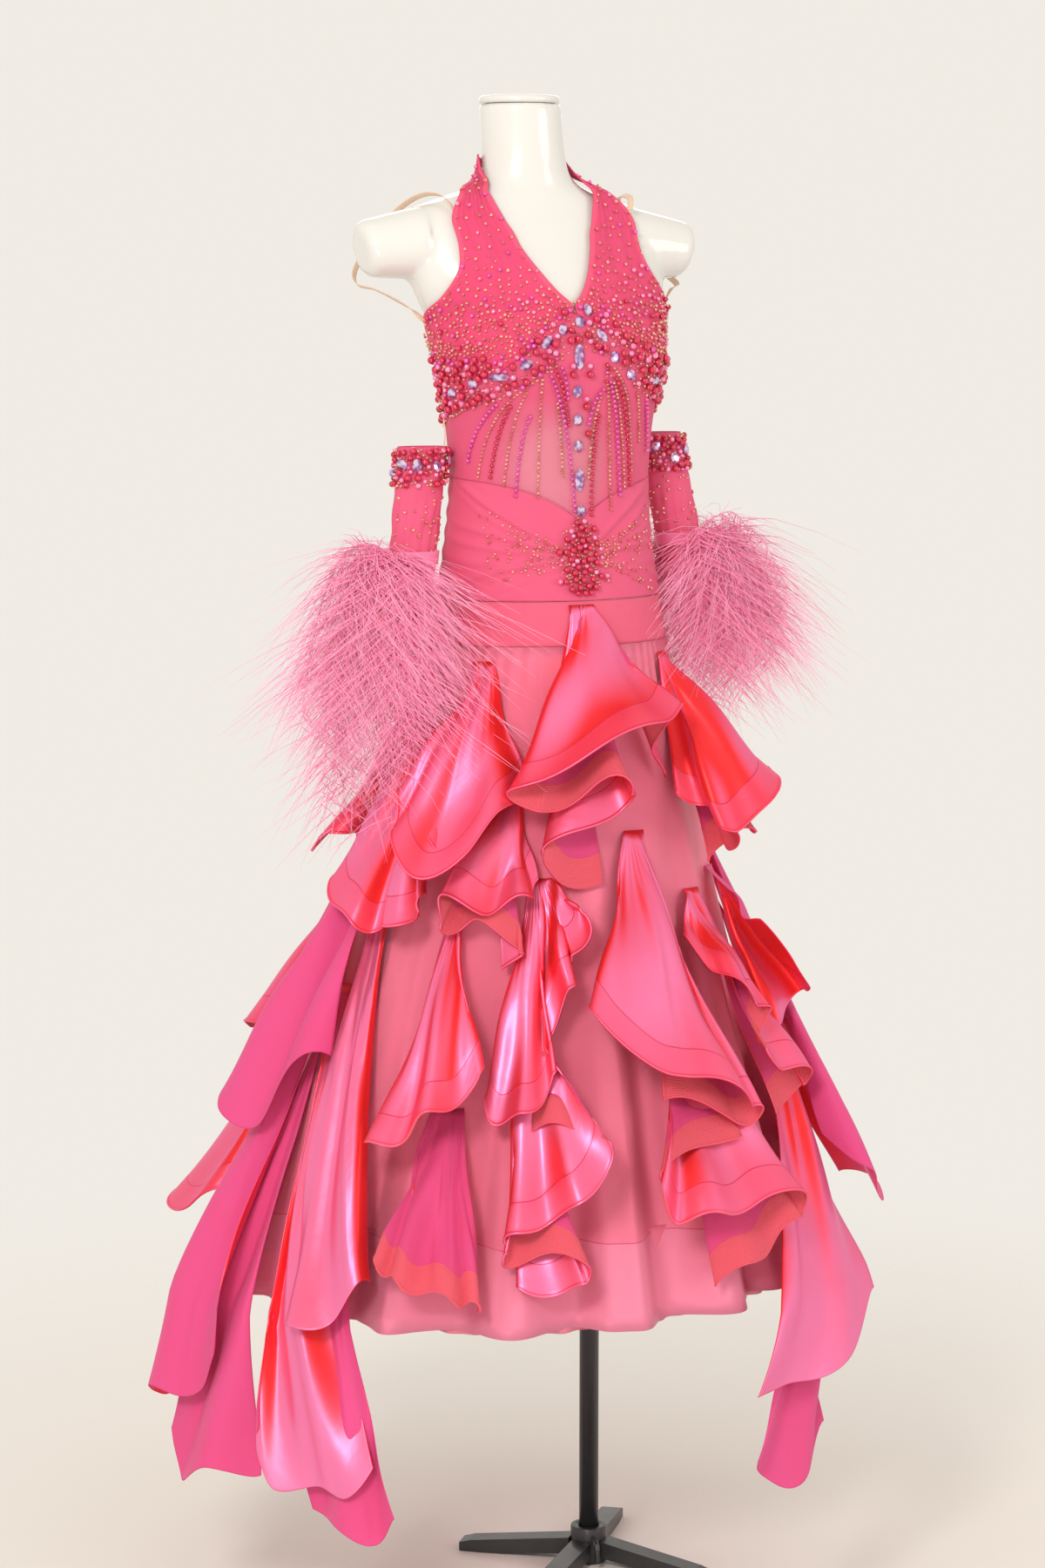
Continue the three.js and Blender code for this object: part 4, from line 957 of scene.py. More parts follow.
def addFronts():
    for name, side in (("right", -1), ("left", 1)):
        t = np.linspace(0, 1, frontPlan["rows"] + 1)
        first = halterPoint(side, np.zeros_like(t), t)
        last = halterPoint(side, np.ones_like(t), t)
        u = boundColumns(np.linalg.norm(first - last, axis=1))
        t = np.repeat(t[:, None], u.shape[1], axis=1)
        wander = 0.6 * np.sin(5 * t + side) + 0.25 * np.sin(13 * t)
        gathers = np.sin(2 * math.pi * frontPlan["gathers"] * u + 4 * wander)
        gathers = gathers * frontPlan["gatherDeep"] * (1 - ease(0.15, 0.62, t)) * np.sin(math.pi * u) ** 0.5
        middle = halterPoint(side, u, t, gathers + creases(u, t, frontPlan["creases"]))
        if side < 0:
            middle = middle[:, ::-1]
        bound = np.zeros(middle.shape[:2])
        edge = frontPlan["boundColumns"]
        bound[:, :edge] = 1
        bound[:, -edge:] = 1
        marks = np.maximum(bound[:-1, :-1], bound[:-1, 1:])
        addCloth("halter_%s_cloth" % name, middle, ["mesh", "mesh", "binding"],
                 "halter_front_" + name,
                 outer=0.55 + frontPlan["lift"] * bound, inner=0.55, marks=marks * 2)
    end = halterRows[0]
    u, t = grid(neckbandPlan["columns"], neckbandPlan["rows"])
    edge = mix(end["az"], end["azOut"], t) + neckbandPlan["behind"]
    z = mix(end["z"], end["zOut"], t) - neckbandPlan["sag"] * np.sin(math.pi * u)
    middle = offForm(mix(edge, 360 - edge, u), z, sizes["bodiceLift"])
    addCloth("neckband_cloth", middle, ["binding"], "halter_neckband",
             outer=neckbandPlan["half"], inner=neckbandPlan["half"])


midriffPlan = {"columns": 150, "rows": 36, "reach": 106, "under": 0.2, "over": 0.1,
               "creases": rowsOf(creaseColumns, [
                   (0.22, 0.10, 0.0, 0.9, 0.02, -0.9), (0.33, 0.06, 0.1, 1.0, 0.018, 0.8),
                   (0.43, 0.04, 0.2, 1.1, 0.014, -0.7), (0.60, -0.05, 0.1, 1.1, 0.015, -0.8),
                   (0.71, -0.08, 0.0, 0.9, 0.02, 0.9), (0.80, -0.10, 0.2, 1.1, 0.018, -0.7)])}


def addMidriff():
    u, t = grid(midriffPlan["columns"], midriffPlan["rows"])
    az = mix(-midriffPlan["reach"], midriffPlan["reach"], u)
    z = mix(halterLower(az) - midriffPlan["under"], wrapTop(az) + midriffPlan["over"], t)
    middle = offForm(az, z, sizes["bodiceLift"] + creases(u, t, midriffPlan["creases"]))
    addCloth("midriff_cloth", middle, ["sheerMesh"], "bodice_midriff")


# The wrap's folds run from a gather at the centre front to these places at the sides. perDegree
# is the way round the waist for each degree.
wrapPlan = {"rows": 46, "columns": 250, "centreZ": 1262, "ends": [
    (-78, 1350), (-75, 1333), (-84, 1302), (-80, 1281), (-74, 1258), (-68, 1234), (-57, 1216),
    (51, 1342), (51, 1320), (56, 1297), (53, 1276), (60, 1255), (65, 1234), (70, 1216)],
    "deep": 3.6, "wide": 3.2, "perDegree": 2.15, "backFolds": 6, "backDeep": 1.5}
yokePlan = {"columns": 240, "rows": 16, "puckers": 31, "puckerDeep": 0.25, "roll": 0.35}


def wrapRelief(az, z):
    x = az * wrapPlan["perDegree"]
    y = z - wrapPlan["centreZ"]
    total = np.zeros_like(x)
    for number, (endAz, endZ) in enumerate(wrapPlan["ends"]):
        ex = endAz * wrapPlan["perDegree"]
        ey = endZ - wrapPlan["centreZ"]
        length = math.hypot(ex, ey)
        along = (x * ex + y * ey) / length
        bow = 5 * math.sin(number * 2.1) * np.sin(math.pi * np.clip(along / length, 0, 1))
        aside = (x * ey - y * ex) / length + bow
        wide = wrapPlan["wide"] * (0.55 + 0.8 * np.clip(along / length, 0, 1))
        reach = ease(-4, 12, along) * (1 - ease(0.9, 1.35, along / length))
        total = np.maximum(total, wrapPlan["deep"] * (0.7 + 0.3 * math.cos(number * 3.7)) * reach
                           * bell(aside, wide))
    back = ease(60, 100, np.abs(az))
    height = (z - sizes["yokeTop"]) / (wrapEdge["sides"] - sizes["yokeTop"])
    rows = 0.5 + 0.5 * np.sin(2 * math.pi * wrapPlan["backFolds"] * height + 0.5 * np.sin(az / 17))
    return total + back * wrapPlan["backDeep"] * rows


def addWaist():
    u, t = grid(wrapPlan["columns"], wrapPlan["rows"], closed=True)
    az = 360 * u - 180
    z = mix(wrapTop(az), sizes["yokeTop"] + 0.05, t)
    hush = ease(0, 0.04, t) * (1 - ease(0.96, 1, t))
    relief = wrapRelief(az, z) * hush
    middle = offForm(az, z, sizes["bodiceLift"] + 0.3 + 0.4 * relief)
    addCloth("wrap_cloth", middle, ["drapedMesh"], "waist_wrap",
             outer=0.6 + 0.6 * relief, inner=0.6, closed=True)
    u, t = grid(yokePlan["columns"], yokePlan["rows"], closed=True)
    middle = onSkirt(360 * u - 180, mix(sizes["yokeTop"], sizes["yokeBottom"] + sizes["seamGap"], t),
                     yokePlan["puckerDeep"] * np.sin(2 * math.pi * yokePlan["puckers"] * u) * t)
    rolled = yokePlan["roll"] * (bell(t, 0.05) + bell(1 - t, 0.05))
    addCloth("yoke_cloth", middle, ["crepe"], "hip_yoke",
             outer=0.6 + rolled, inner=0.6, closed=True)


# Skirt. Ripples are pressed inwards, so the flounces keep clear of them.
skirtPlan = {"columns": 420, "rows": 40, "gathers": 58, "gatherDeep": 3.2, "gatherFoot": 110,
             "ripples": 41, "rippleDeep": 7.5}
# The frill is sewn against the dips' bottoms. nearest is the turn of a dip's wave, in degrees, at
# the deepest point that the solid skirt has there.
frillPlan = {"nearest": 144, "columns": 420, "rows": 16, "waves": 20, "top": 500, "below": 6,
             "clear": 0.8, "lean": 17, "deep": 7, "ruffles": 63, "ruffleDeep": 2.5}


def addSkirt():
    u, t = grid(skirtPlan["columns"], skirtPlan["rows"], closed=True)
    az = 360 * u - 180
    z = mix(sizes["yokeBottom"], sizes["hem"], t)
    turn = 2 * math.pi * u
    sway = np.sin(turn * 3 + 1) + 0.6 * np.sin(turn * 7 + 4)
    pulls = (0.5 + 0.5 * np.sin(turn * skirtPlan["gathers"] + 2.2 * sway)) * (
        0.6 + 0.4 * np.sin(turn * 5 + 2))
    below = sizes["yokeBottom"] - z
    gathered = skirtPlan["gatherDeep"] * pulls * ease(2, 26, below) * (
        1 - ease(skirtPlan["gatherFoot"] * 0.4, skirtPlan["gatherFoot"], below))
    ripple = (0.5 + 0.5 * np.sin(turn * skirtPlan["ripples"] + 1.8 * sway)) * (
        0.5 + 0.5 * np.sin(turn * 9 + 5 * t))
    middle = onSkirt(az, z, -gathered - skirtPlan["rippleDeep"] * ripple * ease(0.25, 0.9, t))
    addCloth("underskirt_cloth", middle, ["georgette"], "underskirt",
             closed=True)
    u, t = grid(frillPlan["columns"], frillPlan["rows"], closed=True)
    turn = 2 * math.pi * u
    deepest = 1 - math.cos(math.radians(frillPlan["nearest"]))
    wave = readStraight(skirtSections, "wave", frillPlan["top"])
    start = -deepest * wave - sizes["cloth"] - frillPlan["clear"]
    lean = frillPlan["lean"] - frillPlan["deep"] * np.sin(turn * frillPlan["waves"])
    fine = frillPlan["ruffleDeep"] * np.sin(turn * frillPlan["ruffles"] + np.sin(turn * 4)) * t
    middle = overSkirt(360 * u - 180, mix(frillPlan["top"], sizes["hem"] - frillPlan["below"], t),
                       start - t * lean + fine - frillPlan["ruffleDeep"] * t)
    addCloth("frill_cloth", middle, ["net"], "petticoat_frill",
             closed=True)


# Flounces and floats. Each flounce's hem has a stiffened band with a rolled edge, whose rows lie
# at these heights above the hem.
hemPlan = {"band": 38.0, "edge": 3.0, "edgeLift": 0.85, "bandLift": 0.25,
           "rows": (39.5, 38.0, 30.0, 22.0, 14.0, 8.0, 4.5, 3.2, 2.6, 1.6, 0.7, 0.0)}
fanGrid = {"columns": 106, "rows": 20, "floatColumns": 56, "floatRows": 40}
turnedOver = ("flounce_right_3", "flounce_right_4", "flounce_left_4")
flutePlan = {"perRow": 0.46, "deep": 9.0, "rise": 6.0, "billow": 7.0, "puckers": 19,
             "puckerDeep": 0.35, "creases": 5, "creaseDeep": 3.0, "creaseWide": 0.036}

# Creases listed for the flounces that show most; the others draw their own.
fanCreases = {
    "flounce_front_1": rowsOf(creaseColumns, [
        (0.1, 0.04, 0.15, 0.95, 0.02, 2.0), (0.22, -0.03, 0.1, 0.9, 0.018, -2.2),
        (0.31, 0.02, 0.2, 1.1, 0.024, 1.8), (0.45, -0.05, 0.05, 0.8, 0.02, -1.9),
        (0.6, 0.03, 0.2, 1.0, 0.018, 1.7), (0.78, -0.02, 0.1, 0.9, 0.022, -1.8)]),
    "flounce_left_2": rowsOf(creaseColumns, [
        (0.15, 0.05, 0.1, 1.0, 0.03, -1.8), (0.33, 0.02, 0.2, 1.1, 0.026, 2.0),
        (0.52, -0.04, 0.1, 0.85, 0.03, -2.0), (0.74, 0.03, 0.3, 1.1, 0.028, 1.8)]),
    "flounce_left_1": rowsOf(creaseColumns, [
        (0.12, 0.03, 0.1, 0.95, 0.022, -2.0), (0.28, -0.03, 0.15, 1.1, 0.024, 2.2),
        (0.47, 0.04, 0.1, 0.9, 0.02, -1.8), (0.66, -0.02, 0.25, 1.1, 0.022, 1.8)]),
    "flounce_right_1": rowsOf(creaseColumns, [
        (0.1, 0.05, 0.1, 0.95, 0.025, 2.0), (0.3, -0.04, 0.15, 1.1, 0.024, -2.2),
        (0.5, 0.03, 0.1, 0.85, 0.026, 1.9), (0.72, -0.03, 0.2, 1.0, 0.022, -1.8)]),
}


def faceOutwards(fan):  # the same fan with its rows running towards the wearer's left
    if fan["spread"] > 0:
        return fan
    return {**fan, "spread": -fan["spread"], "hem": fan["hem"][::-1]}


def hemGrid(fan, columns, rows, hemRows):
    u = np.linspace(0, 1, columns + 1)
    coarse = fanPoint(fan, *np.meshgrid(u, np.linspace(0, 1, 9)))
    depth = np.maximum(np.linalg.norm(np.diff(coarse, axis=0), axis=2).sum(axis=0), 20)
    near = np.clip(np.array(hemRows)[:, None] / depth[None, :], 0, 0.7)
    far = np.linspace(0, 1, rows)[:, None] * (1 - near[:1] - 0.02)
    t = np.concatenate([far, 1 - near])
    return np.repeat(u[None, :], len(t), axis=0), t


def addFlounce(name, fan, seed):
    fan = faceOutwards(fan)
    u, t = hemGrid(fan, fanGrid["columns"], fanGrid["rows"], hemPlan["rows"])
    draw = np.random.default_rng(seed)
    middle = fanPoint(fan, u, t)
    flutes = max(4, round(len(fan["hem"]) * flutePlan["perRow"]))
    phase = draw.uniform(0, 6.28, 3)
    turn = 2 * math.pi * flutes * u + phase[0]
    drift = 0.9 * np.sin(2 * math.pi * 2 * u + phase[1])
    wave = np.sin(turn + drift)
    out = slopesOf(middle, False)
    flute = flutePlan["deep"] * wave * ease(0.25, 1.0, t) * np.sin(math.pi * u) ** 0.4
    middle = middle + out * flute[..., None]
    rise = np.sin(turn + 1.9 + drift)
    middle[..., 2] += flutePlan["rise"] * rise * ease(0.35, 1.0, t)
    billow = np.sin(2 * math.pi * (1.6 * u + 0.9 * t) + phase[2]) * np.sin(math.pi * t)
    middle = middle + out * (flutePlan["billow"] * billow)[..., None]
    rows = fanCreases.get(name) or looseCreases(seed, flutePlan)
    puckers = np.sin(2 * math.pi * flutePlan["puckers"] * u + 3 * np.sin(6 * u + seed)) * (1 - t) ** 2
    bent = creases(u, t, rows) + flutePlan["puckerDeep"] * puckers
    middle = middle + slopesOf(middle, False) * (bent * ease(0.0, 0.12, t))[..., None]
    height = cutOf(middle, False)[..., 1]
    lift = hemPlan["edgeLift"] * (1 - ease(hemPlan["edge"] - 0.6, hemPlan["edge"] + 0.6, height))
    lift = lift + hemPlan["bandLift"] * (1 - ease(hemPlan["band"] - 0.5, hemPlan["band"] + 0.8, height))
    faces = ["satinBack", "satin"] if name in turnedOver else ["satin", "satinBack"]
    addCloth(name + "_cloth", middle, faces, name,
             outer=0.5 + lift, inner=0.5 + 0.6 * lift)


floatPlan = {"pleats": 1.5, "deep": 8.5, "curl": 28.0, "rise": 10.0, "fine": 0.7,
             "hemRows": (5.0, 2.0, 0.0), "creases": 4, "creaseDeep": 4.0, "creaseWide": 0.05}
satinFloats = ("float_right_2", "float_right_5", "float_left_3")


def addFloat(name, fan, seed):
    fan = faceOutwards(fan)
    u, t = hemGrid(fan, fanGrid["floatColumns"], fanGrid["floatRows"], floatPlan["hemRows"])
    middle = fanPoint(fan, u, t)
    draw = np.random.default_rng(seed)
    phase = draw.uniform(0, 6.28, 3)
    pleats = floatPlan["pleats"] * u + 0.35 * np.sin(3.0 * t + phase[0])
    fold = floatPlan["deep"] * np.sin(2 * math.pi * pleats + phase[1]) * ease(0.05, 0.6, t)
    fine = floatPlan["fine"] * np.sin(2 * math.pi * 2.3 * pleats + phase[2] + 2 * t)
    bent = creases(u, t, looseCreases(seed, floatPlan))
    curl = floatPlan["curl"] * np.sin(2 * math.pi * (1.3 * t + 0.4 * u) + phase[2])
    curl = curl * ease(0.4, 1, t) * (u - 0.5)
    middle = middle + slopesOf(middle, False) * ((bent + curl + fold + fine) * ease(0.0, 0.15, t))[..., None]
    rise = np.sin(2 * math.pi * floatPlan["pleats"] * u + phase[1] + 1.6)
    middle[..., 2] += floatPlan["rise"] * rise * ease(0.5, 1, t)
    faces = ["satinCurl", "matteFace"] if name in satinFloats else ["matteFace", "satinCurl"]
    addCloth(name + "_cloth", middle, faces, name)


backColumns = {"az": (135, 180, -135), "spread": 9}
flounceSeeds = {"front": 10, "floats": 40, "back": 70}


def addFlounces():
    for number, (name, fan) in enumerate(flounces.items()):
        addFlounce(name, fan, flounceSeeds["front"] + number)
    print("front flounces made")
    for number, (name, fan) in enumerate(floats.items()):
        addFloat(name, fan, flounceSeeds["floats"] + number)
    for c, column in enumerate(backColumns["az"]):
        turn = -1 if column < 0 else 1
        for r, tier in enumerate(backTiers):
            hem = [(column + turn * az, tier["hem"] + z, out) for az, z, out in backHem]
            fan = {"az": column, "z": tier["seam"], "spread": turn * backColumns["spread"], "hem": hem}
            addFlounce("flounce_back_%d_%d" % (c + 1, r + 1), fan, flounceSeeds["back"] + 3 * c + r)


# Armlets: a gathered tube of mesh with a collar of beads, and a plume of quills with long flues.
armletPlan = {"wide": 30, "deep": 19, "taper": 0.12, "columns": 80, "rows": 44, "cloth": 1.5}
bandPlan = {"from": 0.62, "to": 0.7, "clear": 1.4, "thickness": 2, "columns": 72, "rows": 6}
plumePlan = {"quills": 140, "step": 137.508, "barbs": 54, "inmost": -0.12, "reach": 70, "outward": 62,
             "shorter": 0.35, "rise": 40, "longer": 1.28, "long": 86, "wide": 1.15, "sag": 0.55,
             "quill": 0.75, "joints": 10, "proud": 26, "soft": 6}


def armPoint(arm, u, t, out=0.0):
    turn = 2 * math.pi * u
    centre = mix(np.array(arm["top"], float), np.array(arm["foot"], float), t[..., None])
    shrink = 1 - armletPlan["taper"] * t
    return centre + np.stack([(armletPlan["wide"] * shrink + out) * np.cos(turn),
                              (armletPlan["deep"] + out) * np.sin(turn), 0 * turn], axis=-1)


def addArmlet(name, arm):
    u, t = grid(armletPlan["columns"], armletPlan["rows"], closed=True)
    turn = 2 * math.pi * u
    out = 0.7 * np.sin(turn * 13 + 9 * t) * ease(0.25, 0.4, t) + 0.6 * np.sin(turn * 3 + 30 * t)
    out = out * ease(0, 0.1, t)
    middle = armPoint(arm, u, t, out)
    addCloth("armlet_%s_cloth" % name, middle, ["drapedMesh"], "armlet_" + name,
             outer=0.6, inner=0.6, closed=True)


def addPlume(name, arm, seed):  # quills round the band first, then their flues, then the band
    draw = np.random.default_rng(seed)
    count = plumePlan["quills"]
    turn = np.radians(np.arange(count) * plumePlan["step"] + draw.uniform(-9, 9, count))
    outward = arm["side"] * np.cos(turn)
    turn = turn[outward > plumePlan["inmost"]]
    outward = outward[outward > plumePlan["inmost"]]
    count = len(turn)
    droop = draw.permutation(np.linspace(0, 1, count)) ** 0.7
    reach = (plumePlan["reach"] + plumePlan["outward"] * np.maximum(0, outward))
    reach = reach * (1 - plumePlan["shorter"] * droop) * draw.uniform(0.55, 0.98, count)
    fall = plumePlan["longer"] * (arm["fall"] + arm["droop"] * droop) * draw.uniform(0.88, 1.08, count)
    lift = plumePlan["rise"] * (1 - droop) * draw.uniform(0.5, 1.0, count)
    angle = np.arctan2(np.sin(turn) / armletPlan["deep"], np.cos(turn) / armletPlan["wide"])
    t = mix(bandPlan["from"], bandPlan["to"], draw.uniform(0.1, 0.9, count))
    inner = armletPlan["cloth"] / 2 + bandPlan["clear"]
    root = armPoint(arm, angle / (2 * math.pi), t, inner + 1.2)
    away = np.stack([np.cos(turn), np.sin(turn), 0 * turn], axis=1)
    sideways = np.stack([-np.sin(turn), np.cos(turn), 0 * turn], axis=1)
    bend = draw.uniform(-0.5, 0.5, count)

    def quill(s):  # points along every quill, with s of shape (quills, n)
        out = reach[:, None] * (1 - (1 - s) ** 1.7)
        drop = lift[:, None] * np.sin(math.pi * np.minimum(1, s * 1.4)) - fall[:, None] * s**1.8
        aside = bend[:, None] * out * s
        return (root[:, None] + away[:, None] * out[..., None] + sideways[:, None] * aside[..., None]
                + upwards * drop[..., None])

    joints = plumePlan["joints"]
    s = np.repeat(np.linspace(0, 1, joints + 1)[None], count, axis=0)
    line = quill(s)
    run = unit(np.gradient(line, axis=1))
    across = unit(np.cross(run, upwards))
    above = np.cross(across, run)
    thick = plumePlan["quill"] * (1 - 0.8 * s)
    corners = np.stack([line + thick[..., None] * (math.cos(a) * across + math.sin(a) * above)
                        for a in np.radians((0, 120, 240))], axis=2)
    q, n, c = (axis.ravel() for axis in np.meshgrid(np.arange(count), np.arange(joints), np.arange(3),
                                                    indexing="ij"))
    d = (c + 1) % 3
    index = (q * (joints + 1) + n) * 3
    points = [corners.reshape(-1, 3)]
    faces = [np.stack([index + c, index + d, index + 3 + d, index + 3 + c], axis=1)]
    shares = [np.repeat(s.reshape(-1), 3)]

    barbs = plumePlan["barbs"]
    s = np.clip(np.linspace(0.1, 1, barbs)[None] + draw.uniform(-0.006, 0.006, (count, barbs)), 0, 1)
    base = quill(s)
    run = unit(quill(np.minimum(s + 0.01, 1.01)) - quill(s - 0.01))
    across = unit(np.cross(run, upwards))
    above = np.cross(across, run)
    side = np.where(np.arange(barbs) % 2, 1.0, -1.0)[None, :, None]
    tilt = draw.uniform(-0.9, 0.9, (count, barbs, 1))
    lean = draw.uniform(0.15, 0.95, (count, barbs, 1))
    heading = unit(side * across * np.cos(tilt) + above * np.sin(tilt) + run * lean)
    long = plumePlan["long"] * (0.45 + 0.75 * np.sin(math.pi * np.clip(s, 0, 0.97)) ** 0.7)
    long = (long * draw.uniform(0.6, 1.2, (count, barbs)))[..., None]
    curl = draw.uniform(-0.8, 0.8, (count, barbs, 1))
    sections = []
    for x in (0.0, 0.35, 0.7, 1.0):
        spot = base + long * (heading * x + (across * curl - upwards * plumePlan["sag"]) * x**2)
        half = plumePlan["wide"] * (1 - 0.8 * x) / 2
        flat = unit(np.cross(heading, run) + 0.3 * above)
        breadth = unit(np.cross(flat, heading))
        sections.append(spot - breadth * half)
        sections.append(spot + breadth * half)
    barb = np.stack(sections, axis=2).reshape(-1, 8, 3)
    index = len(points[0]) + np.arange(len(barb))[:, None] * 8
    for low in (0, 2, 4):
        faces.append(np.concatenate([index + low, index + low + 1, index + low + 3, index + low + 2],
                                    axis=1))
    points.append(barb.reshape(-1, 3))
    shares.append(np.tile(np.repeat([0.1, 0.4, 0.75, 1.0], 2), len(barb)))
    faces = np.concatenate(faces)
    share = np.concatenate(shares)[faces]
    marks = np.stack([np.zeros(faces.shape), share], axis=2) / mm
    points = np.concatenate(points)
    soft = plumePlan["soft"]
    edge = cadBox[1][0] / mm + plumePlan["proud"] - soft
    x = points[:, 0]
    points[:, 0] = np.minimum(x, edge + soft * np.tanh((x - edge) / (2 * soft)))
    mesh = meshOf("plume_" + name, points, faces, marks)
    addPiece("plume_%s_feathers" % name, mesh, [looks["feather"]], ["armlet_plume_" + name])
    u, t = grid(bandPlan["columns"], bandPlan["rows"], closed=True)
    half = bandPlan["thickness"] / 2
    middle = armPoint(arm, u, mix(bandPlan["from"], bandPlan["to"], t), inner + half)
    mesh = shellOf("plumeBand_" + name, middle, half, half, closed=True)
    addPiece("plume_band_" + name, mesh, [looks["feather"], looks["feather"]])


# Elastic loops over the shoulders.
loopPlan = {"width": 7, "thickness": 1, "rise": 2.1, "rows": 140, "stitched": 0.5, "middle": -82,
            "armhole": (165, 10, 1622)}


def catmull(points, count):  # a centripetal curve through points, in even steps of its parameter
    points = np.asarray(points, float)
    first = 2 * points[0] - points[1]
    last = 2 * points[-1] - points[-2]
    rows = np.concatenate([first[None], points, last[None]])
    spans = len(points) - 1
    place = np.linspace(0, spans, count)
    out = np.zeros((count, 3))
    for n, value in enumerate(place):
        i = min(int(value), spans - 1)
        s = value - i
        a, b, c, d = rows[i:i + 4]
        gaps = [max(np.linalg.norm(q - p), 1e-9) ** 0.5 for p, q in ((a, b), (b, c), (c, d))]
        startSlope = ((b - a) / gaps[0] - (c - a) / (gaps[0] + gaps[1]) + (c - b) / gaps[1]) * gaps[1]
        endSlope = ((c - b) / gaps[1] - (d - b) / (gaps[1] + gaps[2]) + (d - c) / gaps[2]) * gaps[1]
        out[n] = ((2 * s**3 - 3 * s**2 + 1) * b + (s**3 - 2 * s**2 + s) * startSlope
                  + (3 * s**2 - 2 * s**3) * c + (s**3 - s**2) * endSlope)
    return out


def addLoops():
    sewn = sizes["bodiceLift"] + sizes["cloth"] / 2 + loopPlan["thickness"] / 2 + loopPlan["stitched"]
    x, y, z = loopPlan["armhole"]
    for name, side in (("right", -1), ("left", 1)):
        route = [offForm(side * 46, 1662, sewn + loopPlan["rise"]),
                 offForm(side * 57, 1671, sewn + 2.5 * loopPlan["rise"])]
        route += [np.array([loopPlan["middle"] + side * p["x"], p["y"], p["z"]], float) for p in loopRoute]
        route += [offForm(side * 95, 1556, 12), offForm(side * 89, 1540, sewn)]
        line = catmull([np.ravel(point) for point in route], loopPlan["rows"])
        run = unit(np.gradient(line, axis=0))
        away = unit(line - np.array([loopPlan["middle"] + side * x, y, z]))
        edge = unit(np.cross(run, away))
        across = np.linspace(-0.5, 0.5, 5)[None, :, None] * loopPlan["width"]
        middle = line[:, None] + edge[:, None] * across
        mesh = shellOf("loop_" + name, middle, 0.5, 0.5)
        addPiece("loop_%s_elastic" % name, mesh, [looks["elastic"], looks["elastic"]],
                 ["shoulder_loop_" + name])


# Beads: pearls as small balls and stones as faceted crystals, sown in joined meshes.

def ballShape(level):
    body = bmesh.new()
    bmesh.ops.create_icosphere(body, subdivisions=level, radius=1)
    points = np.array([vert.co[:] for vert in body.verts])
    faces = np.array([[vert.index for vert in face.verts] for face in body.faces])
    body.free()
    return points, faces


def stoneShape():  # a flat table, a slanted crown and a shallow back
    turn = np.linspace(0, 2 * math.pi, 8, endpoint=False)
    rim = np.stack([np.cos(turn), np.sin(turn), 0 * turn], axis=1)
    table = np.concatenate([rim[:, :2] * 0.55, np.full((8, 1), 0.42)], axis=1)
    points = np.concatenate([rim, table, [[0, 0, -0.35]], [[0, 0, 0.42]]])
    faces = []
    for i in range(8):
        k = (i + 1) % 8
        faces += [[i, k, 8 + k], [i, 8 + k, 8 + i], [k, i, 16], [8 + i, 8 + k, 17]]
    return points, np.array(faces)


def sowBeads(name, look, centres, radii):  # small stones are coarse balls with flat faces
    level = 1 if look == "stoneRose" else 2
    points, faces = ballShape(level)
    centres = np.asarray(centres)
    radii = np.broadcast_to(radii, len(centres))
    placed = centres[:, None] + points[None] * np.asarray(radii)[:, None, None]
    index = faces[None] + (np.arange(len(centres)) * len(points))[:, None, None]
    mesh = meshOf(name, placed.reshape(-1, 3), index.reshape(-1, 3))
    shadeSmooth(mesh, level > 1)
    addPiece(name, mesh, [looks[look]])


# Each stone has its centre, the way it faces, its half length and width, and its turn.
def sowStones(name, rows):
    points, faces = stoneShape()
    placed = []
    for row in rows:
        facing = unit(row["facing"])
        across = unit(np.cross(upwards, facing))
        up = np.cross(facing, across)
        turn = math.radians(row["turn"])
        long = math.cos(turn) * up + math.sin(turn) * across
        short = np.cross(long, facing)
        shaped = (points[:, :1] * row["long"] * long + points[:, 1:2] * row["wide"] * short
                  + points[:, 2:] * row["wide"] * facing)
        placed.append(row["centre"] + shaped)
    index = faces[None] + (np.arange(len(rows)) * len(points))[:, None, None]
    mesh = meshOf(name, np.concatenate(placed), index.reshape(-1, 3))
    shadeSmooth(mesh, False)
    addPiece(name, mesh, [looks["stoneLilac"]])


# How far off the form the stones' middles and the cloth's outside are, and how far beads may overlap.
beadSeat = {"stones": 7.2, "cloth": sizes["bodiceLift"] + 0.9, "overlap": 0.15}


def sow(spots, radii, taken):  # keeps the spots that clear the beads already sown
    count = len(taken)
    centres = np.zeros((count + len(spots), 3))
    wide = np.zeros(count + len(spots))
    for n, (centre, radius) in enumerate(taken):
        centres[n] = centre
        wide[n] = radius
    kept = []
    for number, spot in enumerate(spots):
        gap = np.linalg.norm(centres[:count] - spot, axis=1) - wide[:count] - radii[number]
        if count and gap.min() < -beadSeat["overlap"]:
            continue
        centres[count] = spot
        wide[count] = radii[number]
        count += 1
        kept.append(number)
    return kept, [(centres[n], wide[n]) for n in range(count)]


# The band's upper and lower edges round the bodice.
bandRows = rowsOf(("az", "top", "bottom"), [
    (-106, 1521, 1415), (-93, 1515, 1425), (-65, 1502, 1440), (-42, 1507, 1452), (-25, 1525, 1472),
    (-14, 1548, 1492), (-8, 1556, 1502), (0, 1558, 1508), (8, 1560, 1503), (14, 1560, 1492),
    (25, 1525, 1472), (42, 1507, 1452), (65, 1502, 1440), (93, 1515, 1425), (106, 1521, 1415)])

# What is sown on the band: look, number offered, lowest and highest share of its height, spacing.
bandSown = [("pearlCrimson", 330, 0.03, 0.55, 0), ("pearlCrimson", 70, 0.5, 0.85, 0),
            ("pearlPink", 420, 0.02, 0.75, 0), ("pearlMagenta", 260, 0.0, 0.9, 0),
            ("stoneRose", 7000, -0.04, 1.04, 0.6)]

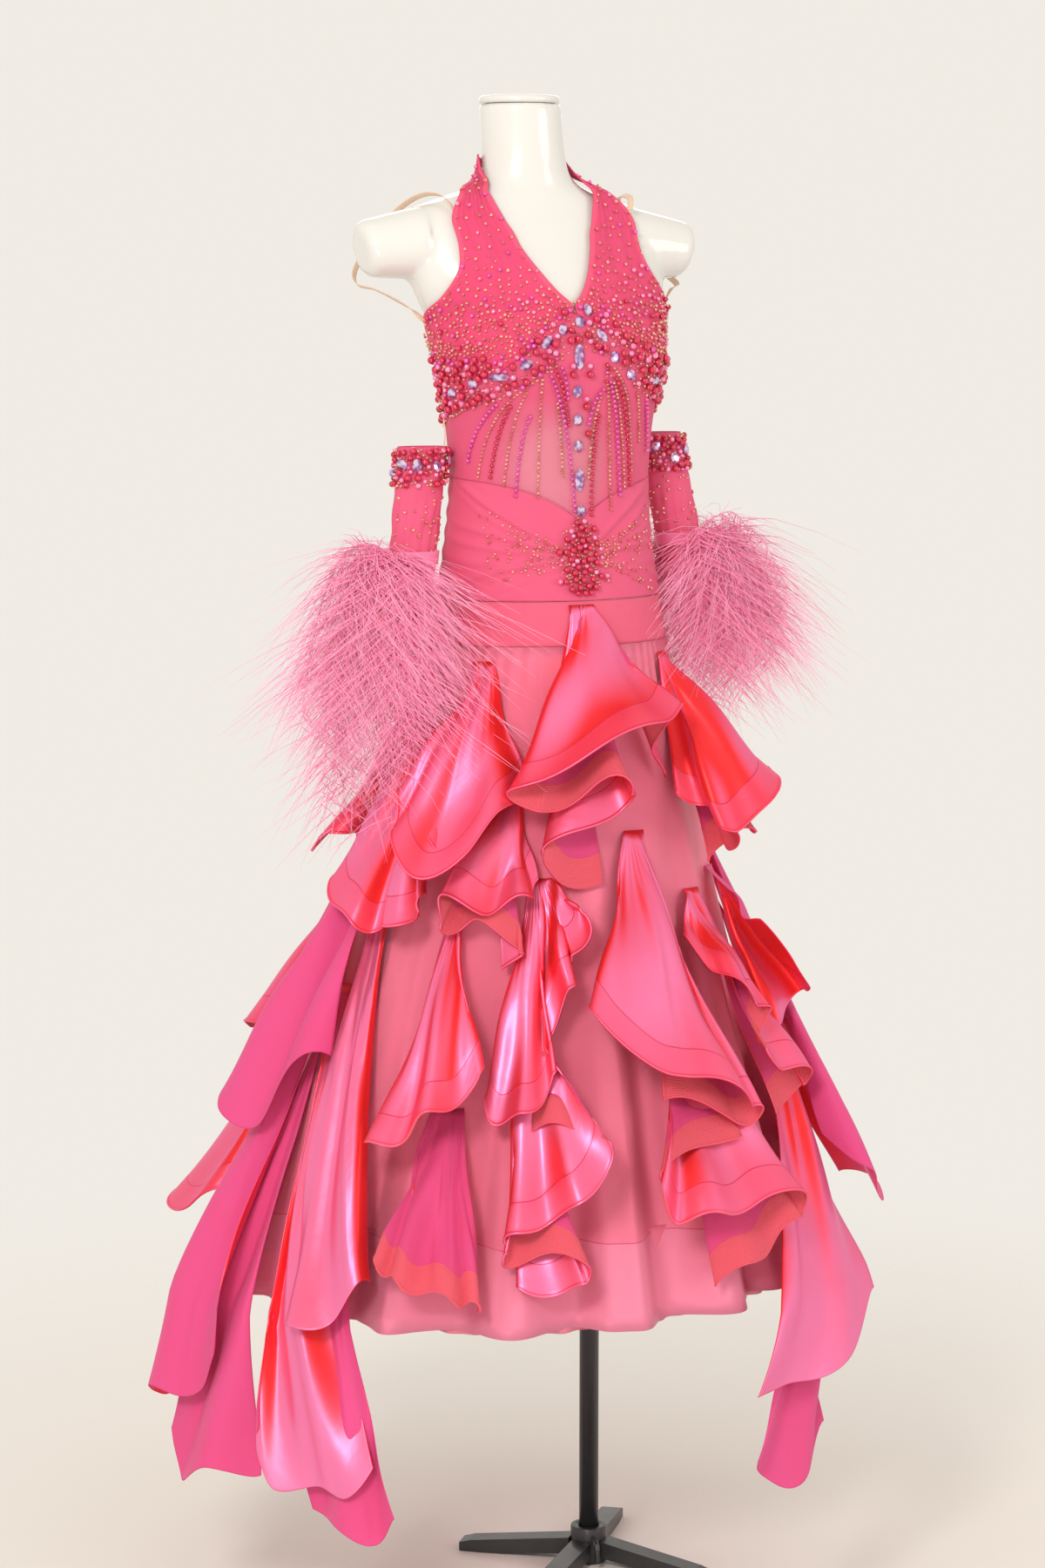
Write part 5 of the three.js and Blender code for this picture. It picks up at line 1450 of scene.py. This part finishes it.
# Lilac stones on the band and down the centre: azimuth, height, half length, half width, turn.
bandStones = [
    (6, 1549, 8.0, 5.8, 0), (1, 1536, 7.2, 6.5, 0), (-8, 1527, 7.2, 5.8, 20), (-17, 1513, 9.4, 5.2, 40),
    (11, 1520, 9.4, 5.2, -40), (-2, 1497, 15.3, 6.5, 0), (16, 1496, 7.2, 5.8, 0),
    (-28, 1489, 8.0, 5.8, 60), (-41, 1476, 12.8, 5.2, 90), (25, 1477, 8.0, 5.8, -50),
    (-58, 1468, 7.2, 6.1, 90), (-78, 1456, 8.0, 6.4, 80), (-105, 1497, 7.2, 5.8, 0),
    (-106, 1464, 7.2, 5.8, 0), (44, 1470, 9.4, 5.2, 90), (62, 1462, 7.2, 6.1, 90),
    (82, 1456, 8.0, 6.4, 90), (-3, 1458, 8.0, 6.1, 0), (-2, 1425, 7.2, 5.8, 0), (-1, 1394, 7.2, 5.8, 0),
    (0, 1354, 13.6, 6.1, 0), (1, 1317, 7.2, 5.8, 0)]

# Strings of beads that hang over the midriff: start and end as azimuth and height, and the bead.
fanStrings = [
    ((-25, 1470), (-62, 1355), "stoneRose"), ((-24, 1476), (-53, 1354), "pearlCrimson"),
    ((-23, 1478), (-44, 1347), "stoneRose"), ((-28, 1430), (-37, 1332), "pearlMagenta"),
    ((-21, 1482), (-24, 1330), "stoneRose"), ((-19, 1486), (-3, 1315), "pearlMagenta"),
    ((-18, 1490), (-10, 1356), "stoneRose"), ((-17, 1493), (-5, 1379), "pearlCrimson"),
    ((-16, 1495), (-10, 1423), "stoneRose"), ((-14, 1495), (-8, 1445), "pearlMagenta"),
    ((11, 1461), (4, 1420), "pearlMagenta"), ((11, 1461), (5, 1353), "stoneRose"),
    ((12, 1470), (7, 1312), "pearlCrimson"), ((12, 1476), (20, 1313), "stoneRose"),
    ((12, 1480), (27, 1330), "pearlMagenta"), ((12, 1484), (31, 1339), "stoneRose"),
    ((12, 1488), (36, 1344), "pearlCrimson"), ((13, 1491), (37, 1362), "stoneRose"),
    ((14, 1494), (43, 1393), "stoneRose"), ((15, 1494), (55, 1385), "pearlMagenta"),
    ((-26, 1468), (-70, 1372), "pearlMagenta")]
beadSizes = {"pearlCrimson": (4.0, 5.0), "pearlPink": (3.0, 4.0), "pearlMagenta": (2.7, 3.4),
             "stoneRose": (1.5, 2.4)}
stringPlan = {"steps": 160, "spacing": 1.32, "bow": 0.35,
              "radii": {"pearlCrimson": 2.6, "pearlMagenta": 2.4, "stoneRose": 1.9}}

# Pairs of pearls beside the centre chain, the oval cluster at the waist, and the small stones that
# thin out from it over the wrap.
chainPairs = ((-6, 1478), (3, 1478), (-7, 1440), (2, 1441), (-6, 1409), (4, 1409), (-5, 1376),
              (5, 1374), (-5, 1338), (5, 1336))
clusterPlan = {"offered": 2600, "bottom": 1220, "top": 1312, "wide": 4.6, "proud": 3.0, "smaller": 0.85,
               "crimson": 500, "pink": 1300}
veilPlan = {"offered": 620, "thins": 19, "reach": 62, "z": 1266, "clear": 4, "lowest": 1216,
            "radii": (1.4, 2.1), "proud": 1.6}


def facingAt(az, z):
    return (offForm(az, z, 2.0) - offForm(az, z, 0.0)) / 2


def addBandBeads():
    draw = np.random.default_rng(5)
    found = {name: [] for name in beadSizes}
    taken = []
    stones = []
    for az, z, long, wide, turn in bandStones:
        centre = offForm(az, z, beadSeat["stones"])
        stones.append({"centre": centre, "facing": facingAt(az, z), "long": long, "wide": wide,
                       "turn": turn})
        for step in (-0.6, 0, 0.6):
            shift = step * long * math.cos(math.radians(turn))
            aside = step * long * math.sin(math.radians(turn)) / 2.3
            taken.append((offForm(az + aside, z + shift, beadSeat["stones"]), wide * 0.9))
    sowStones("stones_lilac", stones)

    def keepBeads(name, spots, radii, room):  # room is the radius that each bead keeps clear
        nonlocal taken
        kept, taken = sow(spots, room, taken)
        found[name] += [(spots[n], radii[n]) for n in kept]
        return len(kept)

    for name, count, low, high, apart in bandSown:
        az = draw.uniform(-108, 108, count)
        share = draw.uniform(low, high, count)
        edges = [np.interp(az, columnOf(bandRows, "az"), columnOf(bandRows, edge))
                 for edge in ("bottom", "top")]
        radii = draw.uniform(*beadSizes[name], count)
        spots = offForm(az, mix(*edges, share), beadSeat["cloth"] + radii * 0.7)
        keepBeads(name, spots, radii, radii + apart)

    strung = 0
    for (az0, z0), (az1, z1), name in fanStrings:
        s = np.linspace(0, 1, stringPlan["steps"])
        midAz = 0.8 * az1 + 0.2 * az0
        midZ = mix(z0, z1, stringPlan["bow"])
        az = (1 - s) ** 2 * az0 + 2 * s * (1 - s) * midAz + s**2 * az1
        z = (1 - s) ** 2 * z0 + 2 * s * (1 - s) * midZ + s**2 * z1
        mean = stringPlan["radii"][name]
        spots = offForm(az, z, beadSeat["cloth"] + 0.8 * mean)
        steps = np.concatenate([[0], np.cumsum(np.linalg.norm(np.diff(spots, axis=0), axis=1))])
        wanted = np.arange(0, steps[-1], 2 * mean * stringPlan["spacing"])
        line = np.stack([np.interp(wanted, steps, spots[:, axis]) for axis in range(3)], axis=1)
        radii = np.full(len(line), mean) * draw.uniform(0.92, 1.06, len(line))
        strung += keepBeads(name, line, radii, radii * 0.93)
    print("beads on the strings:", strung)

    for az, z in chainPairs:
        for name, step in (("pearlCrimson", 0), ("pearlPink", 9)):
            radius = sum(beadSizes[name]) / 2
            spot = offForm(az, z + step, beadSeat["cloth"] + 0.7 * radius)[None]
            keepBeads(name, spot, [radius], [radius])

    count = clusterPlan["offered"]
    top = clusterPlan["top"]
    z = draw.uniform(clusterPlan["bottom"], top, count)
    narrow = (1 - 0.8 * ease(top - 37, top, z)) * (0.6 + 0.4 * ease(1218, 1236, z))
    az = draw.normal(0, clusterPlan["wide"], count) * narrow
    for name, some in (("pearlCrimson", slice(0, clusterPlan["crimson"])),
                       ("pearlPink", slice(clusterPlan["crimson"], clusterPlan["pink"])),
                       ("stoneRose", slice(clusterPlan["pink"], count))):
        radii = draw.uniform(*beadSizes[name], count)[some] * clusterPlan["smaller"]
        spots = offForm(az[some], z[some], sizes["bodiceLift"] + clusterPlan["proud"] + radii * 0.6)
        keepBeads(name, spots, radii, radii)

    count = veilPlan["offered"]
    aside = np.abs(draw.exponential(veilPlan["thins"], count)) * draw.choice([-1, 1], count)
    heading = draw.uniform(-0.9, 0.9, count)
    keep = np.abs(aside) < veilPlan["reach"]
    az = aside[keep]
    z = veilPlan["z"] + heading[keep] * np.abs(az) * 1.1
    keep = (z < wrapTop(az) - veilPlan["clear"]) & (z > veilPlan["lowest"])
    az = az[keep]
    z = z[keep]
    radii = draw.uniform(*veilPlan["radii"], count)[:len(az)]
    spots = offForm(az, z, sizes["bodiceLift"] + veilPlan["proud"] + 0.7 * wrapRelief(az, z) + radii * 0.6)
    keepBeads("stoneRose", spots, radii, radii)
    return found, taken, draw


# What is sown on the fronts: look, its share of the draws from and to, and its size.
frontSown = [("pearlCrimson", 0.0, 0.015, 0.7), ("pearlPink", 0.015, 0.045, 0.7),
             ("pearlMagenta", 0.045, 0.07, 0.8), ("stoneRose", 0.07, 1.0, 1.0)]
frontBeadPlan = {"offered": 4200, "crimsonBelow": 0.7, "spread": 3.4, "proud": 1.6}


def addFrontBeads(found, taken, draw):  # the fronts, sparse at the neck and dense at the bust
    for side in (-1, 1):
        count = frontBeadPlan["offered"]
        u = draw.uniform(0.04, 0.96, count)
        t = draw.uniform(0.03, 0.98, count)
        wanted = 0.07 + 0.8 * ease(0.4, 0.95, t)
        keep = draw.uniform(0, 1, count) < wanted
        u = u[keep]
        t = t[keep]
        kinds = draw.uniform(0, 1, len(u))
        for name, low, high, grow in frontSown:
            some = (kinds >= low) & (kinds < high)
            if name == "pearlCrimson":
                some = some & (t > frontBeadPlan["crimsonBelow"])
            radii = draw.uniform(*beadSizes[name], some.sum()) * grow
            spots = halterPoint(side, u[some], t[some], frontBeadPlan["proud"] + radii * 0.6)
            wider = radii + frontBeadPlan["spread"] * (1 - ease(0.45, 0.88, t[some]))
            kept, taken = sow(spots, wider, taken)
            found[name] += [(spots[n], radii[n]) for n in kept]
    return found


def addBeads():
    found, taken, draw = addBandBeads()
    found = addFrontBeads(found, taken, draw)
    for name, rows in found.items():
        sowBeads("beads_" + name, name, [row[0] for row in rows], [row[1] for row in rows])
        print("beads", name, len(rows))


# Each armlet's collar: lilac stones first, then the beads that fit between them, and a few
# stones scattered down the tube.
collarPlan = {"end": 0.23, "stones": 9, "stoneLong": 8.0, "stoneWide": 5.6, "stoneProud": 5.5,
              "beadProud": 1.4, "smaller": 0.9, "tubeTo": 0.66, "scattered": 70, "sown": (
                  ("pearlCrimson", 150), ("pearlPink", 230), ("pearlMagenta", 110), ("stoneRose", 1500))}


def addCollar(name, arm, seed):
    draw = np.random.default_rng(seed)
    end = collarPlan["end"]
    count = collarPlan["stones"]
    u = (np.arange(count) + draw.uniform(0, 0.4, count)) / count
    t = draw.uniform(0.3 * end, 0.7 * end, count)
    centres = armPoint(arm, u, t, collarPlan["stoneProud"])
    facing = armPoint(arm, u, t, collarPlan["stoneProud"] + 1) - centres
    turns = draw.uniform(-90, 90, count)
    sowStones("collar_%s_lilac" % name, [
        {"centre": centres[n], "facing": facing[n], "long": collarPlan["stoneLong"],
         "wide": collarPlan["stoneWide"], "turn": turns[n]} for n in range(count)])
    taken = [(centre, collarPlan["stoneWide"]) for centre in centres]
    for look, count in collarPlan["sown"]:
        radii = draw.uniform(*beadSizes[look], count) * (1 if look == "stoneRose" else collarPlan["smaller"])
        u = draw.uniform(0, 1, count)
        t = draw.uniform(0.015, end, count)
        spots = armPoint(arm, u, t, collarPlan["beadProud"] + radii * 0.7)
        kept, taken = sow(spots, radii, taken)
        spots = spots[kept]
        radii = radii[kept]
        if look == "stoneRose":
            some = collarPlan["scattered"]
            extra = draw.uniform(*beadSizes[look], some)
            around = draw.uniform(0, 1, some)
            tube = armPoint(arm, around, draw.uniform(end, collarPlan["tubeTo"], some), 1.2)
            spots = np.concatenate([spots, tube])
            radii = np.concatenate([radii, extra])
        sowBeads("collar_%s_%s" % (name, look), look, spots, radii)


def addFloor():
    sides = room["floorSides"]
    turn = np.linspace(0, 2 * math.pi, sides, endpoint=False)
    edge = np.stack([np.cos(turn), np.sin(turn), 0 * turn], axis=1) * room["floorRadius"]
    mesh = bpy.data.meshes.new("floor")
    mesh.from_pydata([tuple(point) for point in edge] + [(0, 0, 0)], [],
                     [(n, (n + 1) % sides, sides) for n in range(sides)])
    mesh.materials.append(floorMaterial())
    floor = bpy.data.objects.new("floor", mesh)
    floor.location.z = -0.0005
    bpy.context.scene.collection.objects.link(floor)


armletSeeds = {"plume": 200, "collar": 300}

addCamera()
addLamps()
addFloor()
addForm()
addStand()
print("form and stand made")
addFronts()
addMidriff()
addWaist()
addLoops()
print("bodice made")
addSkirt()
print("skirt made")
addFlounces()
print("flounces and floats made")
for side, (name, arm) in enumerate(armlets.items()):
    addArmlet(name, arm)
    addPlume(name, arm, armletSeeds["plume"] + side)
    addCollar(name, arm, armletSeeds["collar"] + side)
print("armlets made")
addBeads()
